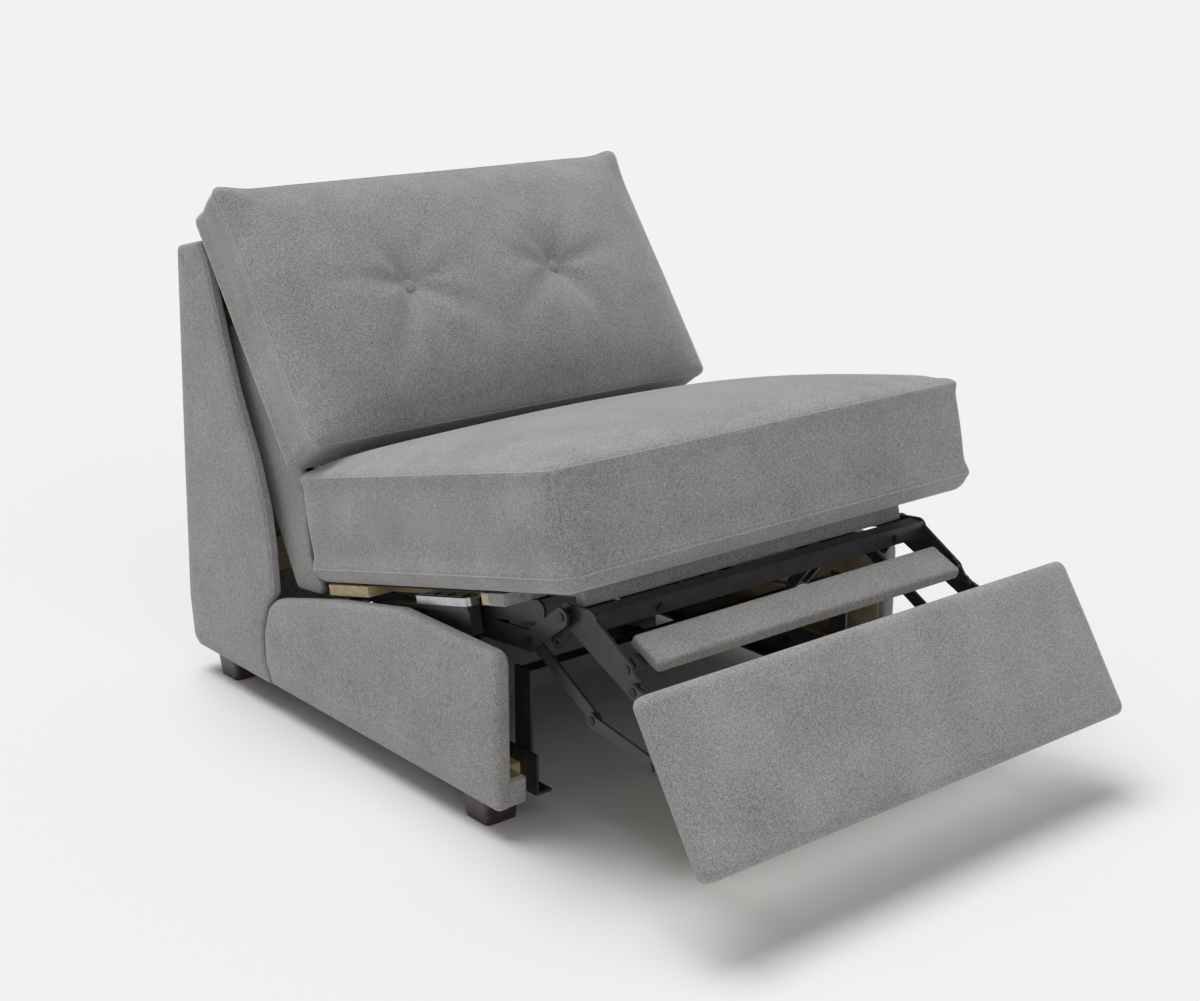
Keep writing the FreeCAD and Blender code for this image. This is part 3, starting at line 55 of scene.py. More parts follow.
Surface = tuple[np.ndarray, np.ndarray]


class Side(Enum):
    """The chair's two sides, as the sign of X."""

    LEFT = -1
    RIGHT = 1

    @property
    def word(self) -> str:
        """The side's name in node names."""
        return self.name.lower()


class Pattern:
    """A shader group with Tone and Height outputs, laid out in a piece's own coordinates."""

    def __init__(self, name: str, **settings: float) -> None:
        """Start the group.

        Args:
            name: Name of the group.
            settings: Default of each number input.
        """
        self.tree = bpy.data.node_groups.new(name, "ShaderNodeTree")
        for label, value in settings.items():
            self.add_socket(label, "INPUT").default_value = value
        self.given = self.tree.nodes.new("NodeGroupInput").outputs
        self.place = self.tree.nodes.new("ShaderNodeTexCoord").outputs["Object"]

    def add_socket(self, label: str, side: str) -> bpy.types.NodeTreeInterfaceSocket:
        """Add a number socket to the group."""
        return self.tree.interface.new_socket(label, in_out=side, socket_type="NodeSocketFloat")

    def add(self, kind: str, inputs: dict, **properties: object) -> bpy.types.Node:
        """Add a node and set it up.

        Args:
            kind: Blender's type name for it.
            inputs: Sockets or values for its inputs, by name or number.
            properties: Properties of the node.

        Returns:
            The new node.
        """
        node = self.tree.nodes.new(kind)
        for key, value in properties.items():
            setattr(node, key, value)
        for key, value in inputs.items():
            if isinstance(value, bpy.types.NodeSocket):
                self.tree.links.new(value, node.inputs[key])
            else:
                node.inputs[key].default_value = value
        return node

    def math(self, operation: str, a: object, b: object) -> bpy.types.NodeSocket:
        """Join two sockets or numbers with a Math node and return its output."""
        return self.add("ShaderNodeMath", {0: a, 1: b}, operation=operation).outputs[0]

    def mapped(self, **change: tuple[float, float, float]) -> bpy.types.NodeSocket:
        """The piece's coordinates after a Scale or a Rotation."""
        return self.add("ShaderNodeMapping", {"Vector": self.place, **change}).outputs[0]

    def noise(self, scale: object, detail: float, roughness: float,
              place: bpy.types.NodeSocket | None = None) -> bpy.types.NodeSocket:
        """Fractal noise from 0 to 1, in the piece's coordinates unless a place is given."""
        return self.add("ShaderNodeTexNoise", {
            "Vector": self.place if place is None else place, "Scale": scale,
            "Detail": detail, "Roughness": roughness}).outputs[0]

    def close(self, tone: object, height: object) -> bpy.types.NodeTree:
        """Join the two outputs and return the finished group."""
        for label in ("Tone", "Height"):
            self.add_socket(label, "OUTPUT")
        self.add("NodeGroupOutput", {"Tone": tone, "Height": height})
        return self.tree


def brushed_cloth() -> bpy.types.NodeTree:
    """A pale nap broken by short fibres, with faint upright streaks and cloudy patches where
    the nap lies another way. The weave stands out in the height alone."""
    group = Pattern("brushed_cloth", Fibre=430.0, Streak=0.3, Cloud=0.25)
    tone = fibre = group.noise(group.given["Fibre"], 4.0, 0.72)
    streak = group.noise(230.0, 2.0, 0.6, group.mapped(Scale=(1.0, 1.0, 0.4)))
    cloud = group.noise(9.0, 3.0, 0.55)
    for label, value in (("Streak", streak), ("Cloud", cloud)):
        share = group.math("MULTIPLY", group.math("SUBTRACT", value, 0.5), group.given[label])
        tone = group.math("ADD", tone, share)
    weave = group.add("ShaderNodeTexVoronoi", {"Vector": group.place, "Scale": 620.0})
    height = group.math("ADD", fibre, group.math("MULTIPLY", weave.outputs["Distance"], 0.6))
    return group.close(tone, height)


def handling() -> bpy.types.NodeTree:
    """Marks of handling: a slow noise times a fine speckle, which is also the height."""
    group = Pattern("handling", Scale=40.0, Speckle=900.0)
    slow = group.noise(group.given["Scale"], 4.0, 0.6)
    fine = group.noise(group.given["Speckle"], 1.0, 0.5)
    return group.close(group.math("MULTIPLY", slow, group.math("ADD", fine, 0.5)), fine)


def plywood() -> bpy.types.NodeTree:
    """Long grain streaks along X, with darker glue lines that follow the seat's slope."""
    group = Pattern("plywood", Grain=60.0, Ply=900.0)
    grain = group.noise(group.given["Grain"], 5.0, 0.7, group.mapped(Scale=(0.12, 0.5, 3.0)))
    glue = group.add("ShaderNodeTexWave", {
        "Vector": group.mapped(Rotation=(0.232, 0.0, 0.0)), "Scale": group.given["Ply"],
        "Distortion": 0.6}, bands_direction="Z").outputs["Fac"]
    tone = group.math("ADD", group.math("MULTIPLY", grain, 0.8),
                      group.math("MULTIPLY", glue, 0.12))
    return group.close(tone, grain)


Rgb = tuple[float, float, float]
BUMP_DEPTH = 0.0004


@dataclass(frozen=True)
class Finish:
    """One finish: two colours mixed by a pattern group, and how it takes light."""

    name: str
    dark: Rgb
    light: Rgb
    pattern: str
    settings: tuple[tuple[str, float], ...] = ()
    roughness: float = 0.6
    metallic: float = 0.0
    sheen: float = 0.0
    coat: float = 0.0
    bump: float = 0.2
    contrast: tuple[float, float] = (0.34, 0.66)

    def build(self, groups: dict[str, bpy.types.NodeTree]) -> bpy.types.Material:
        """Make the material.

        Args:
            groups: Pattern groups by name.

        Returns:
            A material with a Principled BSDF fed by the pattern.
        """
        material = bpy.data.materials.new(self.name)
        material.use_nodes = True
        tree = material.node_tree
        shader = tree.nodes["Principled BSDF"]
        group = tree.nodes.new("ShaderNodeGroup")
        group.node_tree = groups[self.pattern]
        for label, value in self.settings:
            group.inputs[label].default_value = value
        ramp = tree.nodes.new("ShaderNodeValToRGB")
        colours = (self.dark, self.light)
        for stop, place, colour in zip(ramp.color_ramp.elements, self.contrast, colours):
            stop.position = place
            stop.color = (*colour, 1.0)
        tree.links.new(group.outputs["Tone"], ramp.inputs[0])
        tree.links.new(ramp.outputs[0], shader.inputs["Base Color"])
        bump = tree.nodes.new("ShaderNodeBump")
        bump.inputs["Strength"].default_value = self.bump
        bump.inputs["Distance"].default_value = BUMP_DEPTH
        tree.links.new(group.outputs["Height"], bump.inputs["Height"])
        tree.links.new(bump.outputs[0], shader.inputs["Normal"])
        for label, value in (("Roughness", self.roughness), ("Metallic", self.metallic),
                             ("Sheen Weight", self.sheen), ("Sheen Roughness", 0.45),
                             ("Coat Weight", self.coat), ("Coat Roughness", 0.15)):
            shader.inputs[label].default_value = value
        material.diffuse_color = (*self.light, 1.0)
        return material


FINISHES = (
    Finish("grey_fabric", (0.142, 0.139, 0.136), (0.400, 0.396, 0.391), "brushed_cloth",
           (("Streak", 0.16), ("Cloud", 0.16)), roughness=0.95, sheen=0.3, bump=0.6),
    Finish("cushion_fabric", (0.142, 0.139, 0.136), (0.400, 0.396, 0.391), "brushed_cloth",
           (("Streak", 0.14), ("Cloud", 0.18)), roughness=0.95, sheen=0.35, bump=0.6),
    Finish("thread", (0.30, 0.297, 0.293), (0.44, 0.437, 0.43), "brushed_cloth",
           (("Fibre", 2500.0),), roughness=0.8),
    # Welt cords: colours lighter than the cloth they are cut from, a painted highlight along the
    # raised cords
    Finish("welt", (0.230, 0.227, 0.223), (0.450, 0.446, 0.440), "brushed_cloth",
           (("Streak", 0.2),), roughness=0.95, sheen=0.4, bump=0.4),
    Finish("liner_cloth", (0.30, 0.24, 0.15), (0.43, 0.35, 0.23), "handling",
           (("Scale", 25.0),), roughness=0.85, bump=0.15),
    Finish("dark_wood", (0.022, 0.013, 0.012), (0.052, 0.031, 0.029), "plywood",
           (("Ply", 40.0),), roughness=0.35, coat=0.25),
    Finish("pale_board", (0.42, 0.30, 0.16), (0.66, 0.52, 0.32), "plywood", roughness=0.6),
    Finish("black_steel", (0.020, 0.019, 0.021), (0.034, 0.032, 0.035), "handling",
           roughness=0.40, metallic=0.25, coat=0.2, bump=0.1),
    Finish("pin_steel", (0.03, 0.03, 0.032), (0.07, 0.07, 0.075), "handling",
           roughness=0.35, metallic=0.9, bump=0.1),
    Finish("spring_wire", (0.18, 0.18, 0.19), (0.30, 0.30, 0.31), "handling",
           roughness=0.35, metallic=1.0, bump=0.1),
    Finish("deck_cloth", (0.012, 0.012, 0.012), (0.03, 0.03, 0.03), "brushed_cloth",
           roughness=0.95),
    Finish("drive_plastic", (0.012, 0.012, 0.012), (0.022, 0.022, 0.022), "handling",
           roughness=0.55),
    Finish("rod_steel", (0.42, 0.42, 0.43), (0.58, 0.58, 0.59), "handling", roughness=0.2,
           metallic=1.0, bump=0.05),
    Finish("rim_metal", (0.40, 0.40, 0.41), (0.55, 0.55, 0.56), "handling", roughness=0.25,
           metallic=1.0, bump=0.05),
    Finish("button_plastic", (0.010, 0.010, 0.011), (0.016, 0.016, 0.018), "handling",
           roughness=0.22, coat=0.5, bump=0.05),
)


def build_finishes() -> dict[str, bpy.types.Material]:
    """Build every finish, with the pattern groups they share."""
    groups = {"brushed_cloth": brushed_cloth(), "handling": handling(), "plywood": plywood()}
    return {finish.name: finish.build(groups) for finish in FINISHES}


def signed_volume(vertices: np.ndarray, faces: np.ndarray) -> float:
    """Volume inside closed quads: the sum of the tetrahedra from the origin to each half."""
    total = 0.0
    for corners in ((0, 1, 2), (0, 2, 3)):
        a, b, c = (vertices[faces[:, i]] for i in corners)
        total += float(np.einsum("ij,ij->i", a, np.cross(b, c)).sum()) / 6
    return total


def weld(vertices: np.ndarray, faces: np.ndarray) -> Surface:
    """Merge vertices in metres that share a place to a thousandth of a millimetre."""
    keys = np.round(vertices * 1e6).astype(np.int64)
    _, first, back = np.unique(keys, axis=0, return_index=True, return_inverse=True)
    return vertices[first], back.reshape(-1)[faces]


def grid_faces(rows: int, columns: int, wrap: bool = False, start: int = 0) -> np.ndarray:
    """Quads of a grid of vertices numbered row by row, joined up across columns if wrap."""
    i, j = np.meshgrid(np.arange(rows - 1), np.arange(columns if wrap else columns - 1),
                       indexing="ij")
    k = (j + 1) % columns
    quads = np.stack([i * columns + j, i * columns + k, (i + 1) * columns + k,
                      (i + 1) * columns + j], axis=-1)
    return quads.reshape(-1, 4) + start


@dataclass(frozen=True)
class Pose:
    """A frame of its own: an origin given forward and up, and its b and c directions."""

    forward: float
    height: float
    angle: float
    upright: bool

    def axes(self) -> np.ndarray:
        """Directions a, b and c as rows. Lying, b runs forward along the slope and c up from
        it. Upright, b runs up along the lean and c forward from it."""
        turn = math.radians(self.angle)
        along = (0.0, -math.cos(turn), math.sin(turn))
        across = (0.0, math.sin(turn), math.cos(turn))
        pair = (across, along) if self.upright else (along, across)
        return np.array([(1.0, 0.0, 0.0), *pair])

    def place(self, local: np.ndarray) -> np.ndarray:
        """Turn places in millimetres along a, b and c into the chair's frame in metres."""
        return (np.array([0.0, ORIGIN_F - self.forward, self.height]) + local @ self.axes()) * MM


SEAT = Pose(436.0, 283.0, 13.3, upright=False)
BACK = Pose(355.0, 455.0, 35.6, upright=True)
REST = Pose(1345.0, 241.0, 33.0, upright=True)
FLAP = Pose(1143.0, 346.0, -24.0, upright=False)


@dataclass
class Workshop:
    """Makes finished pieces and keeps count of them."""

    materials: dict[str, bpy.types.Material]
    made: list[str] = field(default_factory=list)

    def piece(self, name: str, surface: Surface, finish: str, body: str,
              stands_for: Sequence[str] = (), slot: str | None = None,
              fill: float | None = None, pose: Pose | None = None) -> bpy.types.Object:
        """Put a closed surface into the scene and dress it.

        Args:
            name: Name of the piece.
            surface: Places in millimetres and quads, or triangles with the last corner twice.
            finish: Name of its finish.
            body: CAD body that it moves with.
            stands_for: CAD nodes that it replaces.
            slot: Record's material slot, or the finish's own name; not used.
            fill: How full it is, if it is a padded piece; not used.
            pose: Frame of the places, or the chair's own.

        Returns:
            The object.
        """
        places, faces = surface
        vertices, faces = weld(pose.place(places) if pose else places * MM, faces)
        if signed_volume(vertices, faces) < 0:
            faces = faces[:, ::-1]
        clean = []
        for quad in faces.tolist():
            ring = [v for i, v in enumerate(quad) if v != quad[i - 1]]
            if len(ring) > 2:
                clean.append(ring)
        mesh = bpy.data.meshes.new(name)
        mesh.from_pydata(vertices.tolist(), [], clean)
        mesh.validate()
        mesh.polygons.foreach_set("use_smooth", [True] * len(mesh.polygons))
        obj = bpy.data.objects.new(name, mesh)
        bpy.context.scene.collection.objects.link(obj)
        obj.data.materials.append(self.materials[finish])
        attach(obj, body)
        if stands_for:
            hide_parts(*stands_for)
        self.made.append(name)
        LOG.info("%s: %d faces", name, len(clean))
        return obj


def edge_steps(low: float, high: float, soft_low: float, soft_high: float,
               step: float) -> np.ndarray:
    """Grid lines between two faces, close together in the rounded strips at both ends.

    Args:
        low: First face, in millimetres.
        high: Last face.
        soft_low: Rounding at the first.
        soft_high: Rounding at the last.
        step: Spacing between them.

    Returns:
        Rising places from low to high.
    """
    strips = [low + soft_low * np.linspace(0, 1, 9)]
    count = max(2, int((high - low - soft_low - soft_high) / step) + 1)
    strips.append(np.linspace(low + soft_low, high - soft_high, count)[1:-1])
    strips.append(high - soft_high * np.linspace(1, 0, 9))
    return np.unique(np.concatenate(strips))


@dataclass
class RoundedBox:
    """A block with rounded edges, of its own radius at each face.

    Each point of the six flat faces moves onto the ellipsoid of the radii round the nearest
    point of the block less its radii.
    """

    low: tuple[float, float, float]
    high: tuple[float, float, float]
    soft_low: tuple[float, float, float]
    soft_high: tuple[float, float, float]
    step: float = 12.0

    def surface(self) -> Surface:
        """Work out the closed surface.

        Returns:
            Places in millimetres and quads.
        """
        lines = [edge_steps(*pair, self.step) for pair in
                 zip(self.low, self.high, self.soft_low, self.soft_high)]
        points, faces, start = [], [], 0
        for axis in range(3):
            u, v = [i for i in range(3) if i != axis]
            for end in (0, 1):
                gu, gv = np.meshgrid(lines[u], lines[v], indexing="ij")
                sheet = np.empty(gu.shape + (3,))
                sheet[..., u], sheet[..., v] = gu, gv
                sheet[..., axis] = (self.low, self.high)[end][axis]
                quads = grid_faces(*gu.shape, start=start)
                # The outside of a face is on the side that its end and axis give.
                faces.append(quads if (end == 1) == (axis != 1) else quads[:, ::-1])
                points.append(sheet.reshape(-1, 3))
                start += gu.size
        flat = np.concatenate(points)
        low, high, soft_low, soft_high = (
            np.array(value) for value in (self.low, self.high, self.soft_low, self.soft_high))
        core = np.clip(flat, low + soft_low, high - soft_high)
        reach = flat - core
        scale = np.where(reach < 0, soft_low, soft_high)
        unit = reach / scale
        length = np.linalg.norm(unit, axis=1, keepdims=True)
        length[length == 0] = 1
        return core + scale * unit / length, np.concatenate(faces)


def block(low: Sequence[float], high: Sequence[float], soft: float,
          step: float) -> Surface:
    """Surface of a block rounded alike at every edge."""
    return RoundedBox(low, high, (soft,) * 3, (soft,) * 3, step).surface()


def bump_at(distance: np.ndarray, width: float) -> np.ndarray:
    """A smooth bump of height 1 at distance 0, falling away over width."""
    return np.exp(-(distance / width) ** 2)


def ramp_up(value: np.ndarray, start: float, length: float) -> np.ndarray:
    """A straight rise from 0 at start to 1 a length further on."""
    return np.clip((value - start) / length, 0, 1)


@dataclass(frozen=True)
class Puff:
    """Inflates a cushion's form as cloth under air pressure, without gravity.

    Lengths are in metres, and cap is the longest movement.
    """

    voxel: float = 0.009
    pressure: float = 4.0
    cap: float = 0.022
    frames: int = 20
    neighbours: int = 8

    def inflate(self, copy: bpy.types.Object) -> Surface:
        """Remesh an object, run its cloth and give each vertex and how far it moves."""
        bpy.context.view_layer.objects.active = copy
        copy.select_set(True)
        remesh = copy.modifiers.new("remesh", "REMESH")
        remesh.mode = "VOXEL"
        remesh.voxel_size = self.voxel
        bpy.ops.object.modifier_apply(modifier=remesh.name)
        before = read_places(copy.data)
        cloth = copy.modifiers.new("cloth", "CLOTH")
        settings = {"quality": 4, "mass": 0.3, "tension_stiffness": 15,
                    "compression_stiffness": 15, "shear_stiffness": 5,
                    "bending_stiffness": 0.5, "use_pressure": True,
                    "uniform_pressure_force": self.pressure}
        for key, value in settings.items():
            setattr(cloth.settings, key, value)
        cloth.settings.effector_weights.gravity = 0
        cloth.point_cache.frame_start = 1
        cloth.point_cache.frame_end = self.frames
        for step in range(1, self.frames + 1):
            bpy.context.scene.frame_set(step)
        shown = copy.evaluated_get(bpy.context.evaluated_depsgraph_get())
        move = read_places(shown.data) - before
        bpy.context.scene.frame_set(1)
        length = np.linalg.norm(move, axis=1, keepdims=True)
        return before, move * np.minimum(1, self.cap / np.maximum(length, 1e-9))

    def moved(self, pose: Pose, local: np.ndarray, faces: np.ndarray,
              share: np.ndarray) -> np.ndarray:
        """Move a form's points as the inflated cloth round them moves.

        Each point takes the mean movement of its nearest vertices of the cloth, weighted by
        one over their distance and half a voxel.

        Args:
            pose: Frame of the form.
            local: Its places in millimetres.
            faces: Its quads.
            share: Share of the movement that each place keeps.
        """
        points = pose.place(local)
        mesh = bpy.data.meshes.new("puff")
        single, quads = weld(points, faces)
        mesh.from_pydata(single.tolist(), [], quads.tolist())
        mesh.validate()
        copy = bpy.data.objects.new("puff", mesh)
        bpy.context.scene.collection.objects.link(copy)
        before, move = self.inflate(copy)
        bpy.data.objects.remove(copy)
        tree = kdtree.KDTree(len(before))
        for index, place in enumerate(before.tolist()):
            tree.insert(place, index)
        tree.balance()
        result = np.empty_like(points)
        for index, place in enumerate(points.tolist()):
            near = tree.find_n(place, self.neighbours)
            weights = np.array([1 / (item[2] + self.voxel / 2) for item in near])
            result[index] = weights @ move[[item[1] for item in near]] / weights.sum()
        LOG.info("puffed %d points, mean %.1f mm", len(points),
                 np.linalg.norm(result, axis=1).mean() / MM)
        return local + result * share[:, None] / MM @ pose.axes().T


def read_places(mesh: bpy.types.Mesh) -> np.ndarray:
    """Places of a mesh's vertices."""
    values = np.empty(len(mesh.vertices) * 3)
    mesh.vertices.foreach_get("co", values)
    return values.reshape(-1, 3)


def tube(path: np.ndarray, radius: float, sides: int = 8) -> Surface:
    """Carry a circle along a path: each ring lies across the mean of its two runs.

    The rings are set out from the direction that the runs follow least, which is the last of
    their singular vectors.

    Args:
        path: Places in millimetres.
        radius: Radius in millimetres.
        sides: Corners of the circle.

    Returns:
        Places and quads, closed at both ends by rings drawn to a point.
    """
    run = np.gradient(path, axis=0)
    run /= np.linalg.norm(run, axis=1, keepdims=True)
    helper = np.linalg.svd(run, full_matrices=False)[2][2]
    side = np.cross(run, helper)
    side /= np.linalg.norm(side, axis=1, keepdims=True)
    up = np.cross(run, side)
    turn = np.linspace(0, 2 * math.pi, sides, endpoint=False)
    ring = np.cos(turn)[None, :, None] * side[:, None] + np.sin(turn)[None, :, None] * up[:, None]
    rows = path[:, None] + radius * ring
    rows = np.concatenate([np.repeat(path[:1, None], sides, 1), rows,
                           np.repeat(path[-1:, None], sides, 1)])
    return rows.reshape(-1, 3), grid_faces(len(rows), sides, wrap=True)


def join(parts: Sequence[Surface]) -> Surface:
    """Put several surfaces into one set of places and quads."""
    places, quads, start = [], [], 0
    for points, faces in parts:
        places.append(points)
        quads.append(faces + start)
        start += len(points)
    return np.concatenate(places), np.concatenate(quads)


def arc_lengths(path: np.ndarray) -> np.ndarray:
    """Length of a line up to each of its places."""
    return np.concatenate([[0], np.cumsum(np.linalg.norm(np.diff(path, axis=0), axis=1))])


def points_at(path: np.ndarray, wanted: np.ndarray) -> np.ndarray:
    """Places on a line at the wanted lengths along it."""
    lengths = arc_lengths(path)
    return np.stack([np.interp(wanted, lengths, path[:, i]) for i in range(3)], axis=1)


def resample(path: np.ndarray, step: float) -> np.ndarray:
    """Places along a line, a step apart."""
    total = arc_lengths(path)[-1]
    return points_at(path, np.linspace(0, total, max(2, int(total / step) + 1)))


def stitches(path: np.ndarray, pitch: float = 6.5, length: float = 4.2,
             radius: float = 0.45) -> Surface:
    """A row of short threads along a path, each a five-sided tube with pointed ends."""
    starts = np.arange(pitch, arc_lengths(path)[-1] - pitch, pitch)
    thread = np.array([0.0, 0.5, 1.0]) * length
    return join([tube(points_at(path, start + thread), radius, 5) for start in starts])


def lay_on(tree: BVHTree, path: np.ndarray, aims: np.ndarray, sink: float) -> np.ndarray:
    """Drop a line onto a surface.

    Args:
        tree: Surface, in metres.
        path: Places of the line in metres, anywhere near the surface.
        aims: Unit directions that point out of the surface at each place.
        sink: How far below the surface the line ends, in metres.

    Returns:
        The line on the surface, in metres; places that miss keep their own.
    """
    result = path.copy()
    reach = 0.06
    for index, (place, aim) in enumerate(zip(path, aims)):
        hit = tree.ray_cast(Vector(place + reach * aim), Vector(-aim), 3 * reach)[0]
        if hit is not None:
            result[index] = np.array(hit) - sink * aim
    smooth = result.copy()
    smooth[1:-1] = (result[:-2] + 2 * result[1:-1] + result[2:]) / 4
    return smooth


def surface_tree(obj: bpy.types.Object) -> BVHTree:
    """Search tree of a piece's surface."""
    return BVHTree.FromObject(obj, bpy.context.evaluated_depsgraph_get())


Corner = tuple[float, float, float]


@dataclass
class PaddedBoard:
    """A board with wadding and cloth: an outline in side view between two planes of X.

    Corners are forward and up in millimetres, with a rounding. The outer face swells a little
    from a rounded edge, and the inner edge is tighter.
    """

    corners: Sequence[Corner]
    inner: float
    outer: float
    soft: float = 8.0
    soft_inner: float = 2.0
    swell: float = 1.6
    roll: float = 30.0
    step: float = 14.0
    arc: int = 7

    def outline(self) -> np.ndarray:
        """Corners anticlockwise, as forward, up and rounding."""
        corners = np.array(self.corners, float)
        following = np.roll(corners, -1, axis=0)
        area = (corners[:, 0] * following[:, 1] - following[:, 0] * corners[:, 1]).sum() / 2
        return corners if area > 0 else corners[::-1]

    def counts(self) -> list[int]:
        """How many places lie along each straight run."""
        corners = self.outline()
        runs = np.linalg.norm(np.roll(corners, -1, axis=0)[:, :2] - corners[:, :2], axis=1)
        return [max(1, int(run / self.step)) for run in runs]

    def ring(self, inset: float) -> np.ndarray:
        """Draw the outline moved inward.

        Each run moves inward by inset and meets its neighbours anew. Each corner is a
        parabola between the ends of its rounding, which shrinks by inset at an outer corner
        and grows by it at a hollow one.

        Args:
            inset: Distance inward, in millimetres.

        Returns:
            Places forward and up, the same number at every inset.
        """
        corners = self.outline()
        points, radii = corners[:, :2], corners[:, 2]
        run = np.roll(points, -1, axis=0) - points
        run /= np.linalg.norm(run, axis=1, keepdims=True)
        base = points + inset * np.stack([-run[:, 1], run[:, 0]], axis=1)
        last_run, last_base = np.roll(run, 1, axis=0), np.roll(base, 1, axis=0)
        cross = last_run[:, 0] * run[:, 1] - last_run[:, 1] * run[:, 0]
        gap = base - last_base
        share = (gap[:, 0] * run[:, 1] - gap[:, 1] * run[:, 0]) / cross
        moved = last_base + share[:, None] * last_run
        turn = np.arctan2(cross, (last_run * run).sum(1))
        radius = np.maximum(radii - inset * np.sign(turn), 0.4)
        half = np.tan(np.abs(turn) / 2)
        after = np.linalg.norm(np.roll(moved, -1, axis=0) - moved, axis=1)
        reach = np.minimum(radius * half, 0.45 * np.minimum(after, np.roll(after, 1)))
        enter, leave = moved - last_run * reach[:, None], moved + run * reach[:, None]
        t = np.linspace(0, 1, self.arc)[:, None]
        places = []
        for index, count in enumerate(self.counts()):
            places.append((1 - t) ** 2 * enter[index] + 2 * t * (1 - t) * moved[index]
                          + t ** 2 * leave[index])
            along = np.linspace(0, 1, count + 2)[1:-1, None]
            places.append(leave[index] + along * (enter[(index + 1) % len(enter)]
                                                  - leave[index]))
        return np.concatenate(places)

    def profile(self) -> list[tuple[float, float]]:
        """Inset and X of each ring, from the inner face to the outer one."""
        quarter = np.linspace(0, math.pi / 2, 5)
        edge = self.outer - self.swell
        rows = [(self.soft_inner * (1 - math.sin(a)),
                 self.inner + self.soft_inner * (1 - math.cos(a))) for a in quarter]
        rows += [(0.0, (self.inner + edge) / 2)]
        wide = np.linspace(0, math.pi / 2, 8)
        rows += [(self.soft * (1 - math.cos(a)), edge - self.soft * (1 - math.sin(a)))
                 for a in wide]
        for share in (0.15, 0.35, 0.6, 0.85, 1.0):
            rows.append((self.soft + self.roll * share,
                         edge + self.swell * math.sin(share * math.pi / 2)))
        return rows

    def surface(self, sign: int) -> Surface:
        """Build the closed surface on one side of the chair.

        Args:
            sign: Sign of X.

        Returns:
            Places in millimetres and quads, with the two flat faces as triangles.
        """
        profile = self.profile()
        rings = [self.stand(self.ring(inset), sign * x) for inset, x in profile]
        count = len(rings[0])
        quads = grid_faces(len(rings), count, wrap=True)
        caps = []
        for row in (0, len(rings) - 1):
            flat = self.ring(profile[row][0])
            line = [Vector((*place, 0.0)) for place in flat.tolist()]
            fan = np.array(tessellate_polygon([line]))
            u, v, w = (flat[fan[:, i]] for i in range(3))
            area = (v[:, 0] - u[:, 0]) * (w[:, 1] - u[:, 1]) \
                - (v[:, 1] - u[:, 1]) * (w[:, 0] - u[:, 0])
            # The two flat faces look opposite ways.
            if (area.sum() > 0) == (row == 0):
                fan = fan[:, ::-1]
            caps.append(row * count + fan[:, [0, 1, 2, 2]])
        return np.concatenate(rings), np.concatenate([quads, *caps])

    def edge_line(self, sign: int, first: int, last: int, inset: float, x: float) -> np.ndarray:
        """Line along the edge from one corner to another, in the outline's own order.

        Args:
            sign: Sign of X.
            first: Corner where the line starts.
            last: Corner where it ends.
            inset: Distance inward of the edge.
            x: Distance from the middle of the chair.

        Returns:
            Places in millimetres.
        """
        counts = self.counts()
        starts = np.concatenate([[0], np.cumsum([self.arc + count for count in counts])])
        flat = self.ring(inset)[starts[first] + self.arc // 2:starts[last] + self.arc // 2 + 1]
        return self.stand(flat, sign * x)

    @staticmethod
    def stand(flat: np.ndarray, x: float) -> np.ndarray:
        """Places forward and up as places of the chair, at one X."""
        return np.column_stack([np.full(len(flat), x), ORIGIN_F - flat[:, 0], flat[:, 1]])


@dataclass
class BackShell:
    """The fixed outer back: a padded rear panel between two padded sides with welts."""

    rear: tuple[Corner, ...] = ((-4, 50, 6), (-23, 64, 16), (-32, 144, 60), (-22, 347, 200),
                                (-19, 408, 200), (4, 799, 40), (7, 810, 10))
    slope: tuple[Corner, ...] = ((82, 827, 8), (105, 790, 30), (140, 684, 90), (180, 575, 90),
                                 (236, 462, 90), (266, 378, 90), (276, 308, 60), (280, 229, 12),
                                 (257, 200, 20), (237, 148, 30), (237, 91, 20), (257, 50, 4))
    cavity: tuple[Corner, ...] = ((78, 826, 9), (84, 787, 6), (27, 787, 6), (3, 408, 30),
                                  (3, 50, 2))
    wall: tuple[float, float] = (428.2, 450.0)
    panel_half: float = 427.6

    def build(self, shop: Workshop) -> None:
        """Make the rear panel, the sides and their welts."""
        rear = PaddedBoard(self.rear + self.cavity, -self.panel_half, self.panel_half,
                           soft=2.0, swell=0.0, roll=0.5)
        shop.piece("shell_rear_cover", rear.surface(1), "grey_fabric", "base",
                   ["shell_rear_panel"], fill=0.9)
        for side in Side:
            board = PaddedBoard(self.rear + self.slope, *self.wall, roll=22.0)
            shop.piece(f"shell_side_cover_{side.word}", board.surface(side.value),
                       "grey_fabric", "base", [f"shell_side_{side.word}"], fill=0.9)
            self.dress(shop, board, side)

    def dress(self, shop: Workshop, board: PaddedBoard, side: Side) -> None:
        """Sew a welt along the slanted front edge and down the rear edge."""
        count = len(self.rear) + len(self.slope)
        lip = count - 1 - len(self.rear)
        front = board.edge_line(side.value, 4, lip, 1.0, board.outer - 8.0)
        rear = board.edge_line(side.value, lip + 1, count - 1, 0.6, board.inner + 2.0)
        welts = join([tube(resample(front, 6.0), 1.5), tube(resample(rear, 6.0), 1.5)])
        shop.piece(f"shell_welt_{side.word}", welts, "welt", "base", slot="grey_fabric")


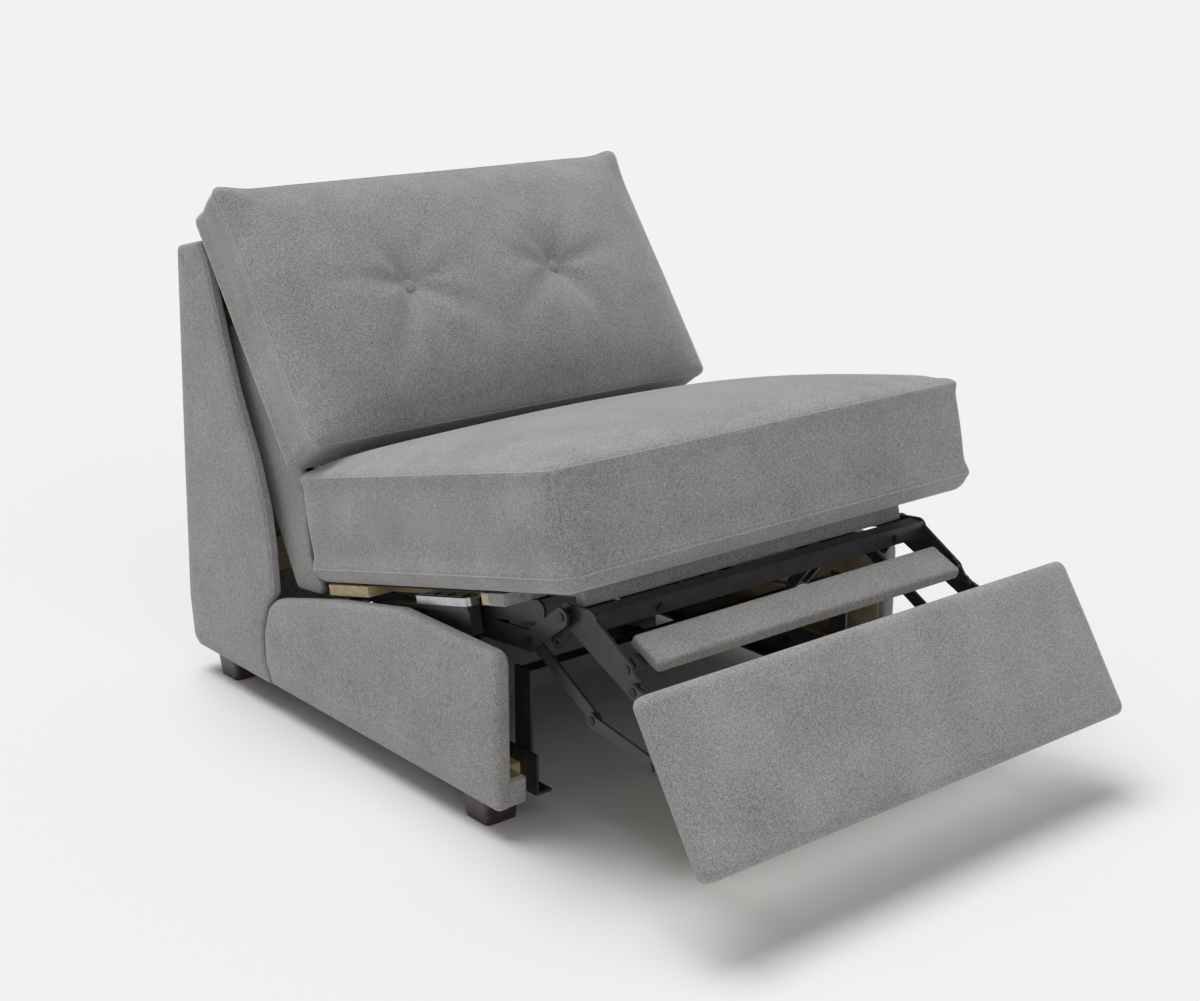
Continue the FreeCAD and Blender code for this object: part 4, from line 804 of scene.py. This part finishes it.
@dataclass
class SidePanel:
    """A padded panel beside the seat, with a toe turned in at its foot."""

    corners: tuple[Corner, ...] = ((261, 50, 3), (937, 50, 9), (937, 309, 24), (676, 309, 70),
                                   (479, 269, 200), (287, 219, 40), (261, 199, 30),
                                   (240.5, 148, 40), (240.5, 91, 20))
    wall: tuple[float, float] = (418.0, 450.0)
    toe_in: float = 386.0
    toe: tuple[float, float, float] = (935.0, 50.3, 97.0)

    def build(self, shop: Workshop) -> None:
        """Make both panels with their toes and sills."""
        for side in Side:
            board = PaddedBoard(self.corners, *self.wall, soft=11.0, soft_inner=8.0, swell=2.4,
                                roll=34.0)
            name = f"side_panel_{side.word}"
            shop.piece(f"{name}_cover", board.surface(side.value), "grey_fabric", "base",
                       [name], fill=0.9)
            self.dress(shop, side)

    def dress(self, shop: Workshop, side: Side) -> None:
        """Turn the cover in under the seat: the toe along the panel's foot."""
        front, low, high = self.toe
        ends = sorted((side.value * self.toe_in, side.value * (self.wall[0] + 6.0)))
        toe = block((ends[0], ORIGIN_F - front, low), (ends[1], ORIGIN_F - 262.0, high), 8.0,
                    20.0)
        shop.piece(f"side_panel_toe_{side.word}", toe, "grey_fabric", "base",
                   slot="grey_fabric")
        inner, outer = sorted((side.value * (self.toe_in + 7.0), side.value * self.wall[0]))
        sill = block((inner, ORIGIN_F - front + 5.0, high - 1.0),
                     (outer, ORIGIN_F - 300.0, high + 0.8), 0.5, 30.0)
        shop.piece(f"side_panel_sill_{side.word}", sill, "liner_cloth", "base")


@dataclass
class Wings:
    """Cloth covered flaps behind the back cushion that hide the gap to the shell."""

    corners: tuple[Corner, ...] = ((103, 675, 8), (148, 690, 14), (185, 690, 14),
                                   (204, 664, 30), (332, 484, 60), (350, 305, 40),
                                   (394, 247, 14), (302, 237, 14), (150, 500, 60))
    wall: tuple[float, float] = (397.0, 409.0)

    def build(self, shop: Workshop) -> None:
        """Make both wings."""
        for side in Side:
            board = PaddedBoard(self.corners, *self.wall, soft=4.5, soft_inner=3.0, swell=1.0,
                                roll=14.0)
            name = f"wing_{side.word}"
            shop.piece(f"{name}_cover", board.surface(side.value), "grey_fabric", "back",
                       [name], fill=0.9)


def perimeter(low: Sequence[float], high: Sequence[float], radius: float,
              step: float = 6.0) -> Surface:
    """Closed line round a rectangle with rounded corners, as four runs and four quarter arcs.

    Args:
        low: Lower corner, in millimetres.
        high: Upper corner.
        radius: Rounding of the corners.
        step: Spacing of the places.

    Returns:
        Places and the outward directions there, both with two columns.
    """
    places, aims = [], []
    centres = ((high[0] - radius, high[1] - radius), (low[0] + radius, high[1] - radius),
               (low[0] + radius, low[1] + radius), (high[0] - radius, low[1] + radius))
    for quarter, centre in enumerate(centres):
        turn = (quarter + np.linspace(0, 1, 8)) * math.pi / 2
        aim = np.stack([np.cos(turn), np.sin(turn)], axis=1)
        arc = np.array(centre) + radius * aim
        following = centres[(quarter + 1) % 4]
        end = np.array(following) + radius * aim[-1]
        count = max(2, int(np.linalg.norm(end - arc[-1]) / step))
        run = arc[-1] + np.linspace(0, 1, count + 1)[1:-1, None] * (end - arc[-1])
        places += [arc, run]
        aims += [aim, np.repeat(aim[-1:], len(run), 0)]
    places, aims = np.concatenate(places), np.concatenate(aims)
    return np.concatenate([places, places[:1]]), np.concatenate([aims, aims[:1]])


def fold(local: np.ndarray, start: Sequence[float], end: Sequence[float], depth: float,
         width: float) -> np.ndarray:
    """A soft crease between two places of a face, deepest at its start.

    The depth falls off across the crease as a bell, and along it as one minus the square of
    the share of its length.

    Args:
        local: Places on the face, two columns.
        start: Where the crease is deepest.
        end: Where it runs out.
        depth: Greatest depth.
        width: Half width of the bell.

    Returns:
        Depth at each place.
    """
    a, b = np.array(start, float), np.array(end, float)
    run = b - a
    share = np.clip((local - a) @ run / (run @ run), 0, 1)
    away = np.linalg.norm(local - (a + share[:, None] * run), axis=1)
    return depth * (1 - share) ** 1.3 * bump_at(away, width * (0.7 + 0.9 * share))


@dataclass(frozen=True)
class Seam:
    """A closed seam round a cushion, at a level between its two faces.

    Lean is how far the outward aim tips up from the seam's own plane.
    """

    pose: Pose
    low: tuple[float, float]
    high: tuple[float, float]
    radius: float

    def line(self, tree: BVHTree, level: float, lean: float, sink: float) -> np.ndarray:
        """Lay the seam on the cushion and give its places in millimetres."""
        flat, aim = perimeter(self.low, self.high, self.radius)
        local = np.column_stack([flat, np.full(len(flat), level)])
        aims = np.column_stack([aim, np.full(len(aim), lean)])
        aims /= np.linalg.norm(aims, axis=1, keepdims=True)
        return lay_on(tree, self.pose.place(local), aims @ self.pose.axes(), sink) / MM


@dataclass
class SeatCushion:
    """The boxed seat cushion: a crowned top, a front band that bulges, and seams."""

    half: float = 443.0
    rear: float = -30.0
    front: float = 692.0
    foot: float = 2.8
    low_seam: float = 29.0
    top_seam: float = 184.0
    top: float = 193.0
    crown: float = 34.0
    bulge: tuple[float, float] = (4.0, 6.0)
    draw_in: tuple[float, float] = (10.0, 12.0)
    # Where each change of form starts, and the length over which it grows.
    upper: tuple[float, float] = (120.0, 73.0)
    nose: tuple[float, float] = (640.0, 50.0)
    ends: tuple[float, float] = (400.0, 43.0)
    lower_ends: tuple[float, float] = (390.0, 50.0)
    corner: float = 20.0
    share: float = 0.45

    def form(self) -> Surface:
        """Shape the block: the top rises as a dome that is flat near the middle, the front
        and the ends bulge as parabolas between the seams, and the foot draws in.

        Returns:
            Places along the seat frame in millimetres and quads.
        """
        box = RoundedBox((-self.half, self.rear, self.foot), (self.half, self.front, self.top),
                         (20.0, 22.0, 26.0), (20.0, 24.0, 16.0), step=9.0)
        local, faces = box.surface()
        a, b, c = local.T.copy()
        u = np.clip(a / self.half, -1, 1)
        v = np.clip((2 * b - self.front - self.rear) / (self.front - self.rear), -1, 1)
        dome = (1 - np.abs(u) ** 4) * (1 - np.abs(v) ** 2.6)
        c += self.crown * dome * ramp_up(c, *self.upper) ** 2
        middle, reach = (self.top_seam + self.low_seam) / 2, (self.top_seam - self.low_seam) / 2
        band = 1 - ((np.clip(c, self.low_seam, self.top_seam) - middle) / reach) ** 2
        b += self.bulge[1] * band * ramp_up(b, *self.nose) * (1 - np.abs(u) ** 6)
        a += self.bulge[0] * band * np.sign(a) * ramp_up(np.abs(a), *self.ends)
        under = ramp_up(self.low_seam - c, 0, self.low_seam - self.foot)
        b -= self.draw_in[1] * under * ramp_up(b, *self.nose)
        a -= self.draw_in[0] * under * np.sign(a) * ramp_up(np.abs(a), *self.lower_ends)
        return np.stack([a, b, c], axis=1), faces

    def keep(self, local: np.ndarray) -> np.ndarray:
        """Share of the puffing that each place takes: none underneath, little at seams."""
        a, b, c = local.T
        share = self.share * ramp_up(c, 12.0, 30.0)
        edge = np.minimum(self.half - np.abs(a), np.minimum(self.front - b, b - self.rear))
        for seam in (self.low_seam, self.top_seam + 4.0):
            share *= 1 - 0.75 * bump_at(c - seam, 14.0) * (edge < 30)
        return share

    def relax(self, local: np.ndarray) -> np.ndarray:
        """Sitting marks: slow waves in the top and puckers beside the seams."""
        a, b, c = local.T
        wave = 1.6 * np.sin(a / 74 + 1.3 * np.sin(b / 120)) * np.sin(b / 91 + 0.6)
        result = local.copy()
        result[:, 2] += wave * ramp_up(c, 170, 20)
        pucker = 0.9 * np.sin(a / 9.5) + 0.5 * np.sin(a / 23 + 1)
        for seam in (self.low_seam, self.top_seam):
            result[:, 1] += pucker * bump_at(c - seam - 10, 12) * (b > 660)
        side = 0.8 * np.sin(b / 10.5) + 0.5 * np.sin(b / 27)
        result[:, 0] += side * np.sign(a) * bump_at(c - self.top_seam + 10, 14) \
            * (np.abs(a) > 425)
        return result

    def build(self, shop: Workshop) -> None:
        """Puff the form, then make the cushion and its seams."""
        local, faces = self.form()
        local = self.relax(Puff().moved(SEAT, local, faces, self.keep(local)))
        cushion = shop.piece("seat_cushion_cover", (local, faces), "cushion_fabric", "seat",
                             ["seat_cushion"], fill=0.8, pose=SEAT)
        self.dress(shop, surface_tree(cushion))

    def dress(self, shop: Workshop, tree: BVHTree) -> None:
        """Sew the two seams round the band, the upright seams at the front corners and a row
        of stitches over the lower seam."""
        seam = Seam(SEAT, (-self.half, self.rear), (self.half, self.front), self.corner)
        parts = [tube(seam.line(tree, self.low_seam, -0.45, 0.0004), 1.2),
                 tube(seam.line(tree, self.top_seam + 4.0, 0.6, 0.0004), 1.2)]
        level = np.arange(self.low_seam, self.top_seam + 3.0, 4.0)
        for side in Side:
            local = np.column_stack([np.full(len(level), side.value * (self.half - 6.0)),
                                     np.full(len(level), self.front - 6.0), level])
            aims = np.repeat([[side.value * 0.64, 0.77, 0.0]], len(level), 0)
            line = lay_on(tree, SEAT.place(local), aims @ SEAT.axes(), 0.0004) / MM
            parts.append(tube(line, 0.8))
        shop.piece("seat_cushion_seams", join(parts), "welt", "seat", slot="cushion_fabric")
        sewn = stitches(seam.line(tree, self.low_seam + 8.0, 0.0, 0.0001))
        shop.piece("seat_cushion_stitches", sewn, "thread", "seat", slot="cushion_fabric")


@dataclass
class BackCushion:
    """The back cushion: a domed face with two tufts, a boxing strip and corner peaks."""

    half: float = 447.0
    foot: float = 8.0
    head: float = 500.0
    rear: float = 0.6
    seam: float = 108.0
    crown: float = 47.0
    bulge: tuple[float, float] = (3.0, 9.0)
    peak: tuple[float, float, float] = (4.0, 7.0, 5.0)
    # Where each change of form starts, and the length over which it grows.
    face: tuple[float, float] = (60.0, 48.0)
    top: tuple[float, float] = (440.0, 60.0)
    ends: tuple[float, float] = (400.0, 47.0)
    tuft: tuple[float, float] = (160.0, 262.0)
    # Depth and width of the two bells of a tuft.
    bell: tuple[float, float] = (13.0, 60.0)
    pit: tuple[float, float] = (6.0, 24.0)
    # Each fold runs from the tuft by two distances, with a depth and a width.
    folds: tuple[tuple[float, float, float, float], ...] = (
        (-12, 215, 16, 22), (105, 170, 9, 20), (-95, 170, 10, 20), (-190, -130, 11, 22),
        (110, -200, 14, 22), (-30, -230, 11, 22), (235, 40, 9, 18), (-150, 30, 9, 18))
    button: float = 13.0
    lift: float = 3.5
    share: float = 0.4

    def form(self) -> Surface:
        """Shape the block: the face rises as a dome, the head and the ends bulge a little
        between the seams, and the upper corners stand out as peaks.

        Returns:
            Places along the back frame in millimetres and quads.
        """
        box = RoundedBox((-self.half, self.foot, self.rear), (self.half, self.head, self.seam),
                         (18.0, 18.0, 16.0), (18.0, 18.0, 18.0), step=8.0)
        local, faces = box.surface()
        a, b, c = local.T.copy()
        u = np.clip(a / self.half, -1, 1)
        v = np.clip((2 * b - self.head - self.foot) / (self.head - self.foot), -1, 1)
        middle = self.seam / 2
        band = 1 - ((np.clip(c, 0, self.seam) - middle) / middle) ** 2
        dome = (1 - np.abs(u) ** 4) * (1 - np.abs(v) ** 2.4)
        c += self.crown * dome * ramp_up(c, *self.face) ** 2
        b += self.bulge[1] * band * ramp_up(b, *self.top)
        a += self.bulge[0] * band * np.sign(a) * ramp_up(np.abs(a), *self.ends)
        peak = bump_at(np.abs(a) - self.half, 46.0) * bump_at(b - self.head, 42.0)
        upper = peak * ramp_up(c, 40, 60)
        b += self.peak[1] * upper
        a += self.peak[0] * upper * np.sign(a)
        c += self.peak[2] * peak * ramp_up(c, 60, 45)
        return np.stack([a, b, c], axis=1), faces

    def creases(self, local: np.ndarray) -> np.ndarray:
        """Depth of the tufts and of the folds that run from them.

        Each tuft is a wide bell with a narrower one in its middle. Where folds cross, the
        deepest one counts.
        """
        face = local[:, :2]
        depth = np.zeros(len(local))
        for side in Side:
            x, y = side.value * self.tuft[0], self.tuft[1]
            away = np.linalg.norm(face - np.array([x, y]), axis=1)
            for deep, wide in (self.bell, self.pit):
                depth += deep * bump_at(away, wide)
            depth += np.maximum.reduce([
                fold(face, (x, y), (x + side.value * dx, y + dy), deep, wide)
                for dx, dy, deep, wide in self.folds])
        return depth

    def build(self, shop: Workshop) -> None:
        """Puff the form, pull in the tufts, then make the cushion, seams and buttons."""
        local, faces = self.form()
        front = ramp_up(local[:, 2], self.seam - 12, 14)
        keep = self.share * ramp_up(local[:, 2], 8, 20) \
            * (1 - 0.7 * bump_at(local[:, 2] - self.seam + 4, 12.0))
        local = Puff().moved(BACK, local, faces, keep)
        local[:, 2] -= self.creases(local) * front
        a, b = local[:, 0], local[:, 1]
        wave = 1.2 * np.sin(a / 68 + b / 150) * np.sin(b / 57 - a / 210)
        pucker = 0.9 * np.sin(a / 9.5) + 0.6 * np.sin(a / 21 + 2)
        local[:, 2] += front * (wave + pucker * bump_at(b - self.head + 26, 15))
        cushion = shop.piece("back_cushion_cover", (local, faces), "cushion_fabric", "back",
                             ["back_cushion"], fill=0.75, pose=BACK)
        self.dress(shop, surface_tree(cushion))

    def dress(self, shop: Workshop, tree: BVHTree) -> None:
        """Sew the seams round the face and round the rear edge, and fix the buttons."""
        seam = Seam(BACK, (-self.half, self.foot), (self.half, self.head), 18.0)
        seams = join([tube(seam.line(tree, self.seam - 2.0, 0.8, 0.0004), 1.5),
                      tube(seam.line(tree, 12.0, -0.5, 0.0004), 1.5)])
        shop.piece("back_cushion_seams", seams, "welt", "back", slot="cushion_fabric")
        self.sew_buttons(shop, tree)

    def sew_buttons(self, shop: Workshop, tree: BVHTree) -> None:
        """Make two covered buttons: a domed cap drawn in over its rim."""
        axes = BACK.axes()
        turn = np.linspace(0, math.pi, 13)
        radius = self.button * np.sin(turn) ** 0.7
        level = self.lift + np.where(turn < math.pi / 2, 5.0, 4.0) * np.cos(turn)
        spin = np.linspace(0, 2 * math.pi, 32, endpoint=False)
        rings = np.stack([radius[:, None] * np.cos(spin), radius[:, None] * np.sin(spin),
                          np.repeat(level[:, None], len(spin), 1)], axis=-1)
        parts = []
        for side in Side:
            centre = np.array([[side.value * self.tuft[0], self.tuft[1], self.seam]])
            seat = lay_on(tree, BACK.place(centre), axes[2:3], 0.0)[0]
            parts.append((seat / MM + rings.reshape(-1, 3) @ axes,
                          grid_faces(len(turn), len(spin), wrap=True)))
        shop.piece("back_buttons_cover", join(parts), "cushion_fabric", "back",
                   ["back_tuft_buttons"])


@dataclass
class Pad:
    """The padded cover of a board, with a face that swells and is drawn down at its edges."""

    half: float
    reach: float
    thick: float
    top: float
    soft_low: tuple[float, float, float]
    soft_high: tuple[float, float, float]
    swell: float
    flatness: tuple[int, int]
    ripple: float = 0.0

    def surface(self) -> Surface:
        """Shape the pad: the swelling is flat near the middle, by the power of each side."""
        box = RoundedBox((-self.half, -self.reach, -self.thick),
                         (self.half, self.reach, self.top), self.soft_low, self.soft_high,
                         step=9.0)
        local, faces = box.surface()
        a, b, c = local.T
        u, v = np.abs(a) / self.half, np.abs(b) / self.reach
        across, along = self.flatness
        c += ramp_up(c, 0, self.thick) * self.swell * (1 - u ** across) * (1 - v ** along)
        c += ramp_up(c, 0, self.thick) * self.ripple * np.sin(a / 61) * np.sin(b / 37 + 1)
        return local, faces


@dataclass
class Footrest(Pad):
    """The padded cover of the footrest board, stapled behind it."""

    half: float = 460.0
    reach: float = 133.0
    thick: float = 16.0
    top: float = 14.0
    soft_low: tuple[float, float, float] = (17.0, 17.0, 3.0)
    soft_high: tuple[float, float, float] = (17.0, 17.0, 11.0)
    swell: float = 4.0
    flatness: tuple[int, int] = (8, 5)
    ripple: float = 0.5
    bracket: float = 365.0

    def build(self, shop: Workshop) -> None:
        """Make the cover and staple it."""
        shop.piece("footrest_cover", self.surface(), "cushion_fabric", "footrest",
                   ["footrest_pad"], slot="grey_fabric", fill=0.9, pose=REST)
        self.dress(shop)

    def dress(self, shop: Workshop) -> None:
        """Staple the turned edge of the cover to the board's back, clear of the brackets."""
        parts = []
        for level in (-108.0, 108.0):
            for x in np.arange(-425.0, 426.0, 34.0):
                if abs(abs(x) - self.bracket) >= 24:
                    parts.append(block((x - 5.5, level - 0.6, -27.6),
                                       (x + 5.5, level + 0.6, -26.4), 0.3, 8.0))
        shop.piece("footrest_staples", join(parts), "rim_metal", "footrest",
                   slot="pin_steel", pose=REST)


@dataclass
class MiddlePad(Pad):
    """The small padded flap between the seat and the footrest."""

    half: float = 330.0
    reach: float = 34.0
    thick: float = 10.0
    top: float = 9.0
    soft_low: tuple[float, float, float] = (7.0, 7.0, 3.0)
    soft_high: tuple[float, float, float] = (7.0, 8.0, 7.0)
    swell: float = 2.0
    flatness: tuple[int, int] = (10, 4)

    def build(self, shop: Workshop) -> None:
        """Make the flap's cover."""
        shop.piece("middle_pad_cover", self.surface(), "cushion_fabric", "middle_flap",
                   ["middle_pad"], slot="grey_fabric", fill=0.9, pose=FLAP)


@dataclass
class Apron:
    """The cloth covered strip across the front of the seat frame."""

    half: float = 348.0
    near: float = 580.2
    far: float = 600.0
    deep: float = 34.0
    nose: tuple[float, float] = (508.3, 17.7)
    wrap: tuple[float, float] = (344.4, 425.6)

    def build(self, shop: Workshop) -> None:
        """Make the strip, the board behind it and the cloth round the ends of the boards."""
        strip = RoundedBox((-self.half, self.near, -self.deep), (self.half, self.far, -0.2),
                           (5.0, 3.0, 6.0), (5.0, 7.0, 5.0), step=10.0)
        parts = [strip.surface(), block((-self.half, self.nose[0], -self.nose[1]),
                                        (self.half, self.near + 6.0, -0.3), 2.0, 14.0)]
        for side in Side:
            low, high = sorted(side.value * x for x in self.wrap)
            parts.append(block((low, 468.0, -18.7), (high, 508.8, 0.6), 0.7, 16.0))
        shop.piece("seat_apron_cover", join(parts), "grey_fabric", "seat", ["seat_apron"],
                   pose=SEAT)


@dataclass
class ControlFace:
    """The dark glossy face of the control panel, let in round its three buttons."""

    middle: tuple[float, float] = (-394.5, 310.0)
    reach: tuple[float, float] = (12.6, 71.5)
    key: tuple[float, float] = (7.9, 15.4)
    pitch: float = 40.0
    level: float = -13.95

    def build(self, shop: Workshop) -> None:
        """Make the face as two long strips and the four cross pieces between the keys."""
        x, s = self.middle
        spans = [(sign * self.key[0], sign * self.reach[0], -self.reach[1], self.reach[1])
                 for sign in (-1, 1)]
        edges = [-self.reach[1]]
        for index in (-1, 0, 1):
            edges += [index * self.pitch - self.key[1], index * self.pitch + self.key[1]]
        edges.append(self.reach[1])
        spans += [(-self.key[0], self.key[0], low, high)
                  for low, high in zip(edges[::2], edges[1::2])]
        parts = []
        for x0, x1, s0, s1 in spans:
            x0, x1 = sorted((x0, x1))
            parts.append(block((x + x0, s + s0, self.level),
                               (x + x1, s + s1, self.level + 0.5), 0.2, 20.0))
        shop.piece("control_face", join(parts), "button_plastic", "seat", pose=SEAT)


@dataclass
class Studio:
    """A pale floor under soft light, and the camera at the photograph's view."""

    place: tuple[float, float, float] = (-2.028, -2.390, 1.35)
    yaw: float = 39.70
    down: float = 16.68
    lens: float = 57.31
    floor_tone: float = 0.765
    ambient: float = 0.42

    def build(self) -> None:
        """Make the floor, the lights and the camera."""
        self.add_floor()
        self.add_world()
        self.add_sun("key_light", (0.10, -0.30, -0.95), 2.5, 38.0)
        self.add_sun("fill_light", (0.20, 0.82, -0.40), 0.53, 55.0)
        self.add_camera()
        bpy.context.scene.view_settings.view_transform = "Standard"

    def add_floor(self) -> None:
        """Lay a wide pale floor that catches the shadow."""
        material = bpy.data.materials.new("floor")
        material.use_nodes = True
        shader = material.node_tree.nodes["Principled BSDF"]
        shader.inputs["Base Color"].default_value = (*(self.floor_tone,) * 3, 1.0)
        shader.inputs["Roughness"].default_value = 1.0
        shader.inputs["Specular IOR Level"].default_value = 0.0
        size = 60.0
        mesh = bpy.data.meshes.new("floor")
        mesh.from_pydata([(-size, -size, 0), (size, -size, 0), (size, size, 0),
                          (-size, size, 0)], [], [(0, 1, 2, 3)])
        floor = bpy.data.objects.new("floor", mesh)
        floor.data.materials.append(material)
        bpy.context.scene.collection.objects.link(floor)

    def add_world(self) -> None:
        """Fill the room with even white light, and show it as the pale backdrop."""
        world = bpy.data.worlds.new("room")
        bpy.context.scene.world = world
        world.use_nodes = True
        tree = world.node_tree
        tree.nodes.clear()
        path = tree.nodes.new("ShaderNodeLightPath")
        light = tree.nodes.new("ShaderNodeBackground")
        light.inputs[1].default_value = self.ambient
        shown = tree.nodes.new("ShaderNodeBackground")
        shown.inputs[0].default_value = (0.88, 0.88, 0.88, 1.0)
        mix = tree.nodes.new("ShaderNodeMixShader")
        sink = tree.nodes.new("ShaderNodeOutputWorld")
        tree.links.new(path.outputs["Is Camera Ray"], mix.inputs[0])
        tree.links.new(light.outputs[0], mix.inputs[1])
        tree.links.new(shown.outputs[0], mix.inputs[2])
        tree.links.new(mix.outputs[0], sink.inputs[0])

    def add_sun(self, name: str, aim: Sequence[float], energy: float, spread: float) -> None:
        """Add a wide far light.

        Args:
            name: Name of the light.
            aim: Direction in which it shines.
            energy: Strength.
            spread: Angle that it fills, in degrees.
        """
        data = bpy.data.lights.new(name, "SUN")
        data.energy = energy
        data.angle = math.radians(spread)
        lamp = bpy.data.objects.new(name, data)
        lamp.rotation_euler = Vector(aim).to_track_quat("-Z", "Y").to_euler()
        bpy.context.scene.collection.objects.link(lamp)

    def add_camera(self) -> None:
        """Set up the camera."""
        data = bpy.data.cameras.new("camera")
        data.lens = self.lens
        data.sensor_width = 36.0
        data.sensor_fit = "HORIZONTAL"
        data.clip_end = 300.0
        camera = bpy.data.objects.new("camera", data)
        camera.location = self.place
        camera.rotation_euler = (math.radians(90.0 - self.down), 0.0, math.radians(-self.yaw))
        bpy.context.scene.collection.objects.link(camera)
        bpy.context.scene.camera = camera


def dress_frame(materials: dict[str, bpy.types.Material]) -> None:
    """Give every CAD node the finish of its material slot."""
    slots = {part["node"]: part["material_slot"] for part in frame["record"]["subparts"]}
    for name, obj in frame["nodes"].items():
        obj.data.materials.clear()
        obj.data.materials.append(materials[slots[name]])


def main() -> None:
    """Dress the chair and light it."""
    materials = build_finishes()
    dress_frame(materials)
    shop = Workshop(materials)
    for piece in (BackShell(), SidePanel(), Wings(), SeatCushion(), BackCushion(), Footrest(),
                  MiddlePad(), Apron(), ControlFace()):
        piece.build(shop)
    Studio().build()
    LOG.info("%d pieces made", len(shop.made))


if __name__ == "__main__":
    main()
